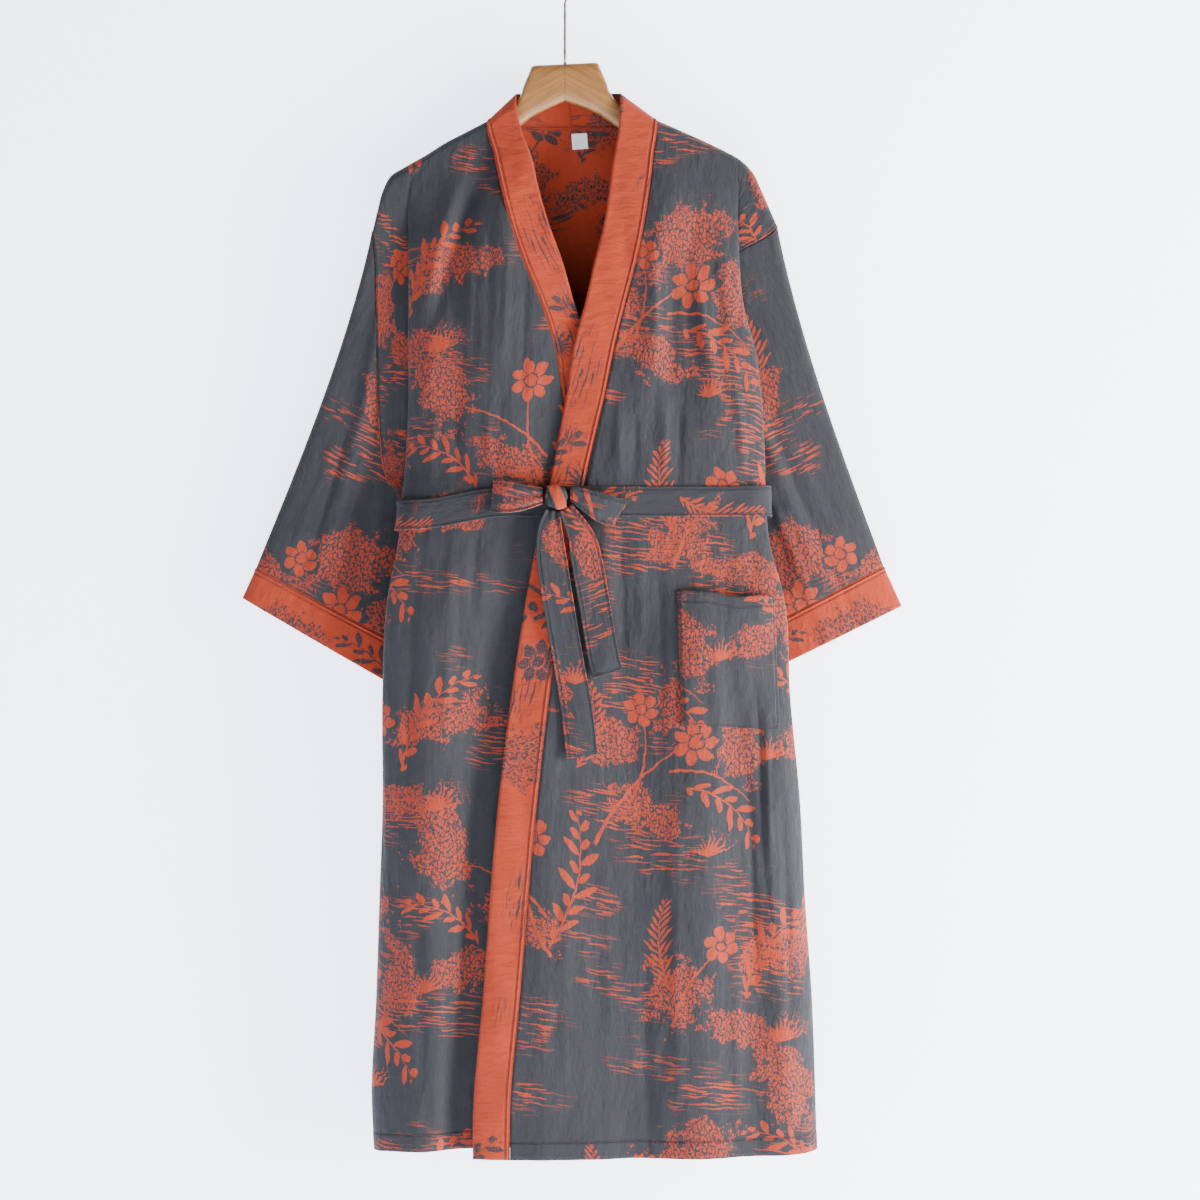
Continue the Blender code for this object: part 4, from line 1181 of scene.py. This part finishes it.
# Sprigs: anchor, start, end, bow, the leaves' pitch, reach, half-width and slant.
SPRIGS = (
    ("bough", (0.020, -0.020), (0.100, -0.085), 0.014, 0.018, 0.021, 0.0052, 0.8),
    ("bough", (-0.105, 0.000), (-0.090, 0.095), -0.010, 0.008, 0.015, 0.0024, 1.1),
    ("spray", (0.074, -0.060), (0.105, 0.085), -0.016, 0.019, 0.022, 0.0055, 0.8),
    ("spray", (-0.010, -0.060), (-0.100, -0.010), -0.014, 0.016, 0.018, 0.0045, 0.9),
    ("low", (0.010, -0.030), (0.095, 0.075), 0.020, 0.017, 0.020, 0.0050, 0.8),
    ("low", (-0.075, -0.020), (-0.085, 0.080), 0.012, 0.008, 0.016, 0.0024, 1.1),
)
# Tufts: anchor, across, up, size, blades.
TUFTS = (
    ("bough", 0.045, -0.100, 0.040, 11),
    ("low", 0.050, -0.078, 0.046, 13),
    ("spray", -0.075, -0.112, 0.038, 11),
)


class Figure:
    """The motifs of the cloth, drawn as masks from 0 to 1 on its pattern coordinates."""

    def __init__(self, nodes):
        self.a, self.b = nodes.uv("cloth")
        where = nodes.vector(self.a, self.b)
        self.nodes = nodes
        self.coarse = nodes.noise(where, 34, 2, 0.6)
        self.soft = nodes.noise(where, 85, 2, 0.6)
        self.fine = nodes.noise(where, 330, 2, 0.6)
        self.ragged = nodes.noise(where, 900, 1, 0.5)
        self.edge = (self.coarse - 0.5) * 1.7 + (self.soft - 0.5) * 1.3 + (self.fine - 0.5) * 0.7
        self.wobble = (self.soft - 0.5) * 0.005
        self.anchors = {name: self.lattice(*place_at) for name, place_at in ANCHORS.items()}

    def lattice(self, across, up):
        """Local coordinates about the nearest point of a half-drop repeat."""
        wide, tall = REPEAT
        column = ((self.a - across) / wide).math("ROUND")
        beside = self.a - across - column * wide
        return beside, (self.b - up - column * (tall / 2)).math("WRAP", tall / 2, -tall / 2)

    def about(self, anchor, across, up):
        a, b = self.anchors[anchor]
        return a - across, b - up

    def dabs(self):
        """Small slanted leaves with dark gaps: the edges of stretched Voronoi cells."""
        warped = self.nodes.vector(
            self.a + (self.soft - 0.5) * 0.010,
            self.b + (self.fine - 0.5) * 0.003 + (self.coarse - 0.5) * 0.012,
        )
        stroke = self.nodes.node("ShaderNodeMapping", {}, {
            "Vector": warped, "Rotation": (0, 0, 0.6), "Scale": (1.0, 0.5, 1.0),
        })
        leaves = self.nodes.node("ShaderNodeTexVoronoi", {
            "voronoi_dimensions": "2D", "feature": "DISTANCE_TO_EDGE",
        }, {"Vector": stroke, "Scale": 250}).above(0.15, 0.04)
        return (leaves | self.fine.above(0.60, 0.03)) & self.fine.above(0.37, 0.03)

    def mass(self, anchor, across, up, wide, tall, degrees):
        """A turned oval with a ragged edge."""
        a, b = self.about(anchor, across, up)
        along, aside = turned_about(a, b, degrees)
        along, aside = along / wide, aside / tall
        return ((along * along + aside * aside).math("SQRT") + self.edge).below(1.0, 0.05)

    def blossom(self, anchor, across, up, size, petals):
        """An open flower: rounded petals with dark gaps between them, about a ringed centre."""
        a, b = self.about(anchor, across, up)
        a, b = a + self.wobble * 0.8, b + self.wobble
        away = (a * a + b * b).math("SQRT") / size + (self.soft - 0.5) * 0.35
        turn = a.math("ARCTAN2", b) * (petals / (2 * math.pi)) + away * 0.25
        petal = abs(turn - turn.math("ROUND"))
        share = away / (1 - petal * petal * 1.6)
        gaps = petal.below(0.44, 0.03) | away.below(0.22, 0.05)
        ring = abs(away - 0.30).above(0.045, 0.03)
        return share.below(0.95, 0.04) & gaps & ring, share.below(1.25, 0.05)

    def bowed(self, anchor, start, end, bow):
        """Share of the way along a bowed line, and the distance to each side of it."""
        a, b = self.about(anchor, *start)
        run = math.dist(start, end)
        ahead_a, ahead_b = (end[0] - start[0]) / run, (end[1] - start[1]) / run
        share = (a * ahead_a + b * ahead_b) / run
        aside = b * ahead_a - a * ahead_b - share * (1 - share) * (4 * bow) + self.wobble
        return share, aside, run

    def stem(self, anchor, start, end, bow, thick):
        share, aside, _ = self.bowed(anchor, start, end, bow)
        inside = share.above(0, 0.01) & share.below(1, 0.02)
        return (abs(aside) - (1.25 - share) * thick).below(0, 0.0004) & inside

    def sprig(self, anchor, start, end, bow, pitch, reach, leaf, slant):
        """A stem with leaves in turn on its two sides. The leaf nearest to a point leaves the
        stem a whole number of pitches from its start and slants forwards; its width is the
        product of its shares of the way out and back."""
        share, aside, run = self.bowed(anchor, start, end, bow)
        away, side = abs(aside), aside.above(0, 0.0001)
        place_at = (share * run - away * slant) / pitch + side * 0.5
        nearest = place_at.math("ROUND")
        length = (nearest * 78.233 + side * 3).math("SINE") * 0.25 + 0.8
        tip = (share * (1.08 - share)).math("MAXIMUM", 0).math("SQRT") * length * (2 * reach)
        out = (away / tip.math("MAXIMUM", 0.0005)).math("MINIMUM", 1.0)
        wide = out * (1 - out) * (4 * leaf)
        blade = (abs(place_at - nearest) * pitch - wide).below(0, 0.0004) & out.below(0.97, 0.02)
        stem = (away - (1.2 - share) * 0.0012).below(0, 0.0003)
        return (blade | stem) & share.above(0, 0.01) & share.below(1.04, 0.02)

    def tuft(self, anchor, across, up, size, blades):
        """Grass: blades at even angles about a point, each bent and of its own length."""
        a, b = self.about(anchor, across, up)
        away = (a * a + b * b).math("SQRT")
        angle = a.math("ARCTAN2", b.math("MAXIMUM", -1.0)) + (self.soft - 0.5) * (1.1 / size) * away
        cell = angle * (blades / math.pi)
        nearest = cell.math("ROUND")
        share = away / ((nearest * 12.9898).math("SINE") * 0.3 + 0.7) / size
        wide = (1 - share) * 0.0024
        blade = (abs(cell - nearest) * (math.pi / blades) * away - wide).below(0, 0.0004)
        return blade & share.below(0.98, 0.02) & abs(angle).below(1.25, 0.05)

    def drifts(self):
        """Patches of thin broken lines, drawn by noise that is much longer than it is tall."""
        patches = self.nodes.grain(self.a * 7, self.b * 12)
        slope = self.b + self.a * 0.10 + (self.coarse - 0.5) * 0.006
        lines = self.nodes.grain(self.a * 30, slope * 420, detail=1)
        return lines.above(0.595, 0.02) & patches.above(0.590, 0.05)

    def drawn(self):
        """The whole figure, broken up a little by the threads."""
        masses = any_of(self.mass(*row) for row in MASSES) & self.dabs()
        flowers = [self.blossom(*row) for row in BLOSSOMS]
        figure = masses & (1 - any_of(around for _, around in flowers))
        figure = figure | any_of(flower for flower, _ in flowers)
        figure = figure | any_of(self.stem(*row) for row in STEMS)
        figure = figure | any_of(self.sprig(*row) for row in SPRIGS)
        figure = figure | any_of(self.tuft(*row) for row in TUFTS)
        return (figure | self.drifts()) & self.ragged.above(0.34, 0.06)


def any_of(masks):
    """The largest of some masks."""
    return functools.reduce(operator.or_, masks)


def turned_about(a, b, degrees):
    """Coordinates along and across a direction at some degrees from level."""
    angle = math.radians(degrees)
    return a * math.cos(angle) + b * math.sin(angle), b * math.cos(angle) - a * math.sin(angle)


def robe_cloth(name, thread_colour):
    """Jacquard double gauze: the figure in the other colour than its ground, and the two
    changed over on the reverse. Stitches are dashes in a groove along two lines."""
    nodes = Nodes(name)
    drawing = Figure(nodes)
    figure = drawing.drawn()
    turned = nodes.node("ShaderNodeAttribute", {"attribute_name": "turned"}, {}, "Fac")
    orange = abs(figure - turned)
    a, b = drawing.a, drawing.b
    warp = nodes.grain(a * 1400, b * 90, rough=0.6)
    weft = nodes.grain(a * 90, b * 1400, rough=0.6)
    uneven = nodes.grain(a * 16, b * 16, rough=0.6)
    yarn = 0.56 + 0.30 * (warp + weft) + 0.28 * uneven
    colour = nodes.darker(nodes.mixed(SLATE, ORANGE, orange * (0.84 + 0.16 * drawing.fine)), yarn)
    puff = nodes.grain(a * 105, b * 42, detail=3, rough=0.55)
    relief = nodes.bump(warp + weft, 0.00025, 0.7)
    relief = nodes.bump(puff, 0.0032, 0.6, relief)
    grooves, threads = [], []
    for title in ("stitch_a", "stitch_b"):
        away, run = nodes.uv(title)
        dash = abs((run * 330).math("FRACT") - 0.5).below(0.36, 0.05)
        thread = abs(away).below(0.00055, 0.00015) & dash
        threads.append(thread)
        grooves.append(abs(away).below(0.0012, 0.0012) - thread * 0.8)
    # Each groove dips in the bump, and the same mask also darkens the colour below: painted shade along
    # the stitch lines.
    groove_and_painted_shade = any_of(grooves)
    relief = nodes.bump(-groove_and_painted_shade, 0.0012, 0.9, relief)
    colour = nodes.darker(nodes.mixed(colour, thread_colour, any_of(threads) * 0.75), 1 - groove_and_painted_shade * 0.35)
    return nodes.surface(
        Base_Color=colour, Roughness=0.94, Normal=relief, Sheen_Weight=0.06, Sheen_Roughness=0.5,
        Specular_IOR_Level=0.25,
    )


def label_cotton():
    """Blank woven tape: fine crossed ribs on off-white."""
    nodes = Nodes("label_cotton")
    x, _, z = nodes.parts(nodes.place())
    ribs = (x * 9000).math("SINE") * (z * 9000).math("SINE")
    stain = nodes.grain(x * 120, z * 120)
    colour = nodes.mixed(OFF_WHITE, STAINED, stain)
    return nodes.surface(Base_Color=colour, Roughness=0.85, Normal=nodes.bump(ribs, 0.0001, 0.6))


def hanger_wood():
    """Satin varnished wood: long grain along each arm, with pores and a dark glue line
    at the middle."""
    nodes = Nodes("hanger_wood")
    x, y, z = nodes.parts(nodes.place())
    run = abs(x)
    level = z + run * 0.55
    grain = nodes.grain(run * 14, level * 260, y * 120, detail=5, rough=0.6)
    rings = nodes.grain(run * 5, level * 70, y * 60)
    pores = nodes.grain(run * 90, level * 1500, detail=1).above(0.66, 0.04)
    tone = (grain * 0.65 + rings * 0.5).ramp(0.35, 0.85)
    colour = nodes.mixed(PALE_WOOD, BROWN_WOOD, tone)
    colour = nodes.darker(colour, 1 - pores * 0.25 - abs(x).below(0.0004, 0.0003) * 0.5)
    return nodes.surface(
        Base_Color=colour, Roughness=0.36 + grain * 0.14, Coat_Weight=0.25,
        Normal=nodes.bump(grain - pores * 0.3, 0.0003, 0.4),
    )


def hook_steel():
    """Round wire, nickel plated and browned a little in places."""
    nodes = Nodes("hanger_steel")
    x, y, z = nodes.parts(nodes.place())
    drawn = nodes.grain(x * 900, z * 60, y * 900, detail=3)
    dull = nodes.grain(x * 80, z * 80, y * 80, detail=3)
    colour = nodes.mixed(NICKEL, BROWNED, dull.ramp(0.4, 0.7))
    return nodes.surface(
        Base_Color=colour, Metallic=1.0, Roughness=0.24 + dull * 0.25,
        Normal=nodes.bump(drawn, 0.0001, 0.4),
    )


def pattern(points, across=0.0, up=0.0):
    """The pattern's place on a piece in metres: its own x at the first column and its level at
    the first row, with the runs along the cloth from there."""
    along, down = spread(points)
    return (points[:, :1, 0] + along + across) * MM, (points[:1, :, 2] - down + up) * MM


def stitch_line(points, offset, *edges):
    """Signed distance from a line of stitches that runs at an offset from the nearest of some
    edges of a grid, and the run along that edge, in metres. An edge is the first or last
    column or the top or bottom row."""
    along, down = spread(points)
    ways = {
        "first": (along, down), "last": (along[:, -1:] - along, down),
        "top": (down, along), "bottom": (down[-1:] - down, along),
    }
    away = np.stack([ways[name][0] for name in edges])
    run = np.stack([ways[name][1] for name in edges])
    nearest = away.argmin(0)[None]
    return ((np.take_along_axis(away, nearest, 0)[0] - offset) * MM,
            np.take_along_axis(run, nearest, 0)[0] * MM)


def places_from_seam(near, far):
    """Shares of a narrow strip's width, close together over the piping by its seam."""
    return np.concatenate([np.linspace(0, 0.16, near), np.linspace(0.16, 1, far)[1:]])


def panel(name, points, uv, out, *sides):
    """A front or the back: a turned hem, and a line of stitches along each side seam."""
    _, down = spread(points)
    lines = stitch_line(points, HEM_WIDTH, "bottom"), stitch_line(points, EDGE_STITCHES, *sides)
    cloth(name, points, FACE, uv, lines, out,
          raised=folded_edge(down[-1:] - down, HEM_WIDTH, TURNED_HEIGHT))


def fronts_and_back():
    for side, out in (("left", -1), ("right", 1)):
        points = front_points(side, COLUMNS, ROWS)
        across, up = pattern(points)
        if side == "right":
            across = (points[:, :1, 0] - spread(points)[0]) * MM
        panel("front_" + side, points, (across, up), out, "last")
    points = back_points(np.linspace(-1, 1, 161), ROWS)
    panel("back", points, pattern(points, 130, 90), 1, "first", "last")


def edging(name, points, uv, out, seam, closed=False):
    """A band or a cuff: its reverse outside, doubled, with a raised piping and two lines of
    stitches along its seam."""
    away = dict(zip(("first", "top"), spread(points)))[seam]
    lines = [stitch_line(points, offset, seam) for offset in EDGING_STITCHES]
    cloth(name, points, REVERSE, uv, lines, out, closed=closed, turned=1, doubled=True,
          raised=ridge(away, *PIPING))


def bands():
    places = places_from_seam(10, 12)
    for side, out, along_at in (("left", -1, 200), ("right", 1, 60)):
        points = band_points(side, ROWS, 60, places)
        along, down = spread(points)
        uv = (down + along_at) * MM, along * MM
        edging("band_" + side, points, uv, out, "first")


def along_outer_fold(side, points, out, across, up):
    """A sleeve's pattern, straight along the line from the top of the armhole to the outer
    end of the cuff: the distance from that line, to the front or to the back, and the way
    along it."""
    start = np.array(shoulder(side, 1.0), float) * (1, -1)
    end = np.array(SLEEVES[side]["edge"][0][:2], float) * (1, -1)
    ahead = (end - start) / np.linalg.norm(end - start)
    beside = points[..., ::2] - start
    away = beside[..., 0] * ahead[1] - beside[..., 1] * ahead[0]
    front = np.arange(points.shape[1]) <= points.shape[1] // 2
    away = np.where(front, away, -away)
    return (away * out + across) * MM, (up - beside @ ahead) * MM


def sleeves_and_cuffs():
    cuff_places = places_from_seam(9, 16)
    for side, out in (("left", 1), ("right", -1)):
        points = with_allowance(sleeve_points(side, 130), out)
        uv = along_outer_fold(side, points, out, 40, 30)
        cloth("sleeve_" + side, points, FACE, uv, [], out,
              closed=True)
        points = cuff_points(side, cuff_places)
        uv = along_outer_fold(side, points, out, 90, 140)
        edging("cuff_" + side, points, uv, out, "top", closed=True)


def pocket_and_label():
    points = pocket_points(60)
    lines = stitch_line(points, 2.5, "first", "last", "bottom"), stitch_line(points, 12, "top")
    raised = [folded_edge(line[0] / MM, width, height)
              for line, width, height in zip(lines, (4.5, 1), (TURNED_HEIGHT, 0.6))]
    cloth("pocket", points, FACE, pattern(points, 60, -130), lines, -1,
          raised=np.maximum(*raised))
    points = label_points(16)
    cloth("label", points, LABEL_FACE, pattern(points), [], -1, wall=0.7)


def belt_and_bow():
    tied = knot()
    points = belt_points(16)
    along, down = spread(points)
    cloth("belt", points, FACE, (down * MM, along * MM),
          [stitch_line(points, EDGE_STITCHES, "top", "bottom")], -1,
          closed=True,
          doubled=True, raised=folded_edge(np.minimum(down, down[-1:] - down), 4, 0.4))
    for name, points, across, out, held in (
        ("belt_tail_short", tail_points(TAIL_SHORT, 60, 20), 90, -1, "hung"),
        ("belt_tail_long", tail_points(TAIL_LONG, 80, 20), 215, -1, "hung"),
        ("bow_loop_left", loop_points(LOOP_LEFT, 80, 20), 20, 1, "folded"),
        ("bow_loop_right", loop_points(LOOP_RIGHT, 80, 20), 150, -1, "folded"),
    ):
        along, down = spread(points)
        if held == "hung":
            edges, wall = ("first", "last", "bottom"), TAIL_WALL
            uv = (along + across) * MM, -(down + across) * MM
        else:
            edges, wall = ("first", "last"), WALL
            uv = (down + across) * MM, (along + across) * MM
        line = stitch_line(points, EDGE_STITCHES, *edges)
        cloth(name, points, FACE, uv, [line], out, wall=wall,
              doubled=True, raised=folded_edge(line[0] / MM, 0.5, TURNED_HEIGHT))


def solid_of_rings(name, points, finish, node):
    """A closed solid from rings of points, with a flat cap on its first and last ring."""
    rings, count = points.shape[:2]
    faces = grid_faces(rings, count, closed=True).tolist()
    faces.append(list(range(count))[::-1])
    faces.append(list(range((rings - 1) * count, rings * count)))
    return place(name, mesh_of(name, points, faces), finish, node)


def knot():
    """The knot's pattern runs round it and down it, with the reverse of the weave on the
    turn of the strip that lies over its middle."""
    points = knot_points(40)
    made = solid_of_rings("knot_cloth", points, FACE, "belt_knot")
    around = np.broadcast_to(np.linspace(40, 140, points.shape[1]), points.shape[:2])
    beside = points[..., 0] - KNOT["across"] + KNOT_LEAN * (points[..., 2] + KNOT["down"])
    turned = ease((beside + 5.5) / 1.5) * ease((9 - beside) / 1.5)
    drawn_on(made.data, [np.stack([around.ravel(), points[..., 2].ravel()], -1) * MM],
             turned.ravel())
    return made


def hanger():
    """The hanger's two arms meet at the glued middle; sections are rounded rectangles."""
    x, top, bottom, depth = along_rows(HANGER, np.linspace(0, 1, 90))
    x = np.maximum.accumulate(x)
    turn = np.linspace(0, 2 * math.pi, 40, endpoint=False)
    ring_y = np.sign(np.cos(turn)) * np.abs(np.cos(turn)) ** 0.6
    ring_z = np.sign(np.sin(turn)) * np.abs(np.sin(turn)) ** 0.6
    rows = []
    for sign in (-1, 1):
        across = sign * x[:, None]
        z = -mix(top[:, None], bottom[:, None], (1 - ring_z) / 2) + across * HANGER_TILT
        rows.append(np.stack([across + 0 * ring_y, depth[:, None] * ring_y, z], -1))
    points = np.concatenate([rows[0][:0:-1], rows[1]])
    solid_of_rings("hanger_arms", points, WOOD, "hanger_wood")


def hook_route():
    """The hook's middle line: up the shank, out to one side and round over the top."""
    radius = HOOK_INSIDE + HOOK_WIRE
    join = math.radians(-50)
    middle = -HOOK_INSIDE
    ends = np.array(((0, -HOOK_SHANK_TOP), (radius * math.cos(join), middle + radius * math.sin(join))))
    ahead = np.array(((0, 12), (-12 * math.sin(join), 12 * math.cos(join))))
    share = np.linspace(0, 1, 24)[:, None]
    rest = 1 - share
    bend = rest**3 * ends[0] + share**3 * ends[1]
    bend += 3 * rest**2 * share * (ends[0] + ahead[0]) + 3 * rest * share**2 * (ends[1] - ahead[1])
    turn = np.linspace(join, math.radians(HOOK_END_ANGLE), 80)[1:, None]
    circle = np.concatenate([radius * np.cos(turn), middle + radius * np.sin(turn)], 1)
    foot = np.stack([np.zeros(12), np.linspace(-(HANGER[0][1] - 0.2), -60, 12)], -1)
    return np.concatenate([foot, bend, circle])


def hook():
    """Rings of the wire's radius round its route, square to it."""
    route = hook_route()
    ahead = np.gradient(route, axis=0)
    ahead /= np.linalg.norm(ahead, axis=1, keepdims=True)
    turn = np.linspace(0, 2 * math.pi, 20, endpoint=False)
    aside = np.stack([ahead[:, 1], -ahead[:, 0]], -1)
    x = route[:, :1] + aside[:, :1] * np.cos(turn) * HOOK_WIRE
    z = route[:, 1:] + aside[:, 1:] * np.cos(turn) * HOOK_WIRE
    y = np.broadcast_to(np.sin(turn) * HOOK_WIRE, x.shape)
    solid_of_rings("hook_wire", np.stack([x, y, z], -1), STEEL, "hanger_hook")


def plain(name, colour, roughness=0.9):
    """A plain painted surface with the faint unevenness of a wall."""
    nodes = Nodes(name)
    uneven = nodes.noise(nodes.place(), 5, 3)
    return nodes.surface(
        Base_Color=nodes.mixed((*colour, 1), tuple(0.97 * part for part in colour) + (1,), uneven),
        Roughness=roughness,
    )


def room():
    """A pale wall right behind the robe and a pale floor below it. The wall glows a little, as
    one that stands in plain daylight."""
    finish = plain("pale_paint", (0.86, 0.87, 0.90))
    shader = finish.node_tree.nodes["Principled BSDF"]
    shader.inputs["Emission Color"].default_value = (0.78, 0.85, 1.0, 1)
    shader.inputs["Emission Strength"].default_value = WALL_GLOW
    near, far, low, high = -6.0, WALL_DEPTH * MM, -FLOOR_DOWN * MM, 2.2
    corners = {
        "room_wall": ((-5, far, low), (5, far, low), (5, far, high), (-5, far, high)),
        "room_floor": ((-5, near, low), (5, near, low), (5, far, low), (-5, far, low)),
    }
    for name, four in corners.items():
        mesh = bpy.data.meshes.new(name)
        mesh.from_pydata(four, [], [(0, 1, 2, 3)])
        mesh.materials.append(finish)
        added(name, mesh)


def aimed(name, data, place_at, target):
    """An object at a place that looks at its target."""
    made = added(name, data)
    made.location = place_at
    made.rotation_euler = (Vector(target) - made.location).to_track_quat("-Z", "Y").to_euler()
    return made


def softbox(name, place_at, size, power, target):
    light = bpy.data.lights.new(name, "AREA")
    light.shape = "RECTANGLE"
    light.size, light.size_y = size
    light.energy = power
    aimed(name, light, place_at, target)


def camera():
    """A level camera square to the wall, whose view is so wide at the robe's front."""
    lens = bpy.data.cameras.new("camera")
    lens.lens, lens.sensor_width = CAMERA["lens"], CAMERA["sensor"]
    away = CAMERA["width"] * CAMERA["lens"] / CAMERA["sensor"]
    place_at = Vector((CAMERA["across"], CAMERA["plane"] - away, -CAMERA["down"])) * MM
    bpy.context.scene.camera = aimed("camera", lens, place_at, place_at + Vector((0, 1, 0)))


def light():
    """A tall window to the right, low enough to light the skirt, and a weak fill."""
    middle = (0.03, 0.0, -0.8)
    softbox("window", (2.4, -1.15, -0.80), (0.9, 1.5), 225, middle)
    softbox("fill", (-1.2, -3.2, 0.3), (2.2, 2.0), 13, middle)
    world = bpy.data.worlds.new("soft_room")
    world.use_nodes = True
    sky = world.node_tree.nodes["Background"]
    sky.inputs["Color"].default_value = (0.93, 0.96, 1.0, 1)
    sky.inputs["Strength"].default_value = 0.16
    bpy.context.scene.world = world


camera()
light()
room()

# A finish is a slot's name and a material.
Finish = collections.namedtuple("Finish", "slot material")
FACE = Finish("robe_face", robe_cloth("robe_face", SLATE))
REVERSE = Finish("robe_reverse", robe_cloth("robe_reverse", ORANGE))
LABEL_FACE = Finish("label_cotton", label_cotton())
WOOD = Finish("hanger_wood", hanger_wood())
STEEL = Finish("hanger_steel", hook_steel())

fronts_and_back()
bands()
sleeves_and_cuffs()
pocket_and_label()
belt_and_bow()
hanger()
hook()
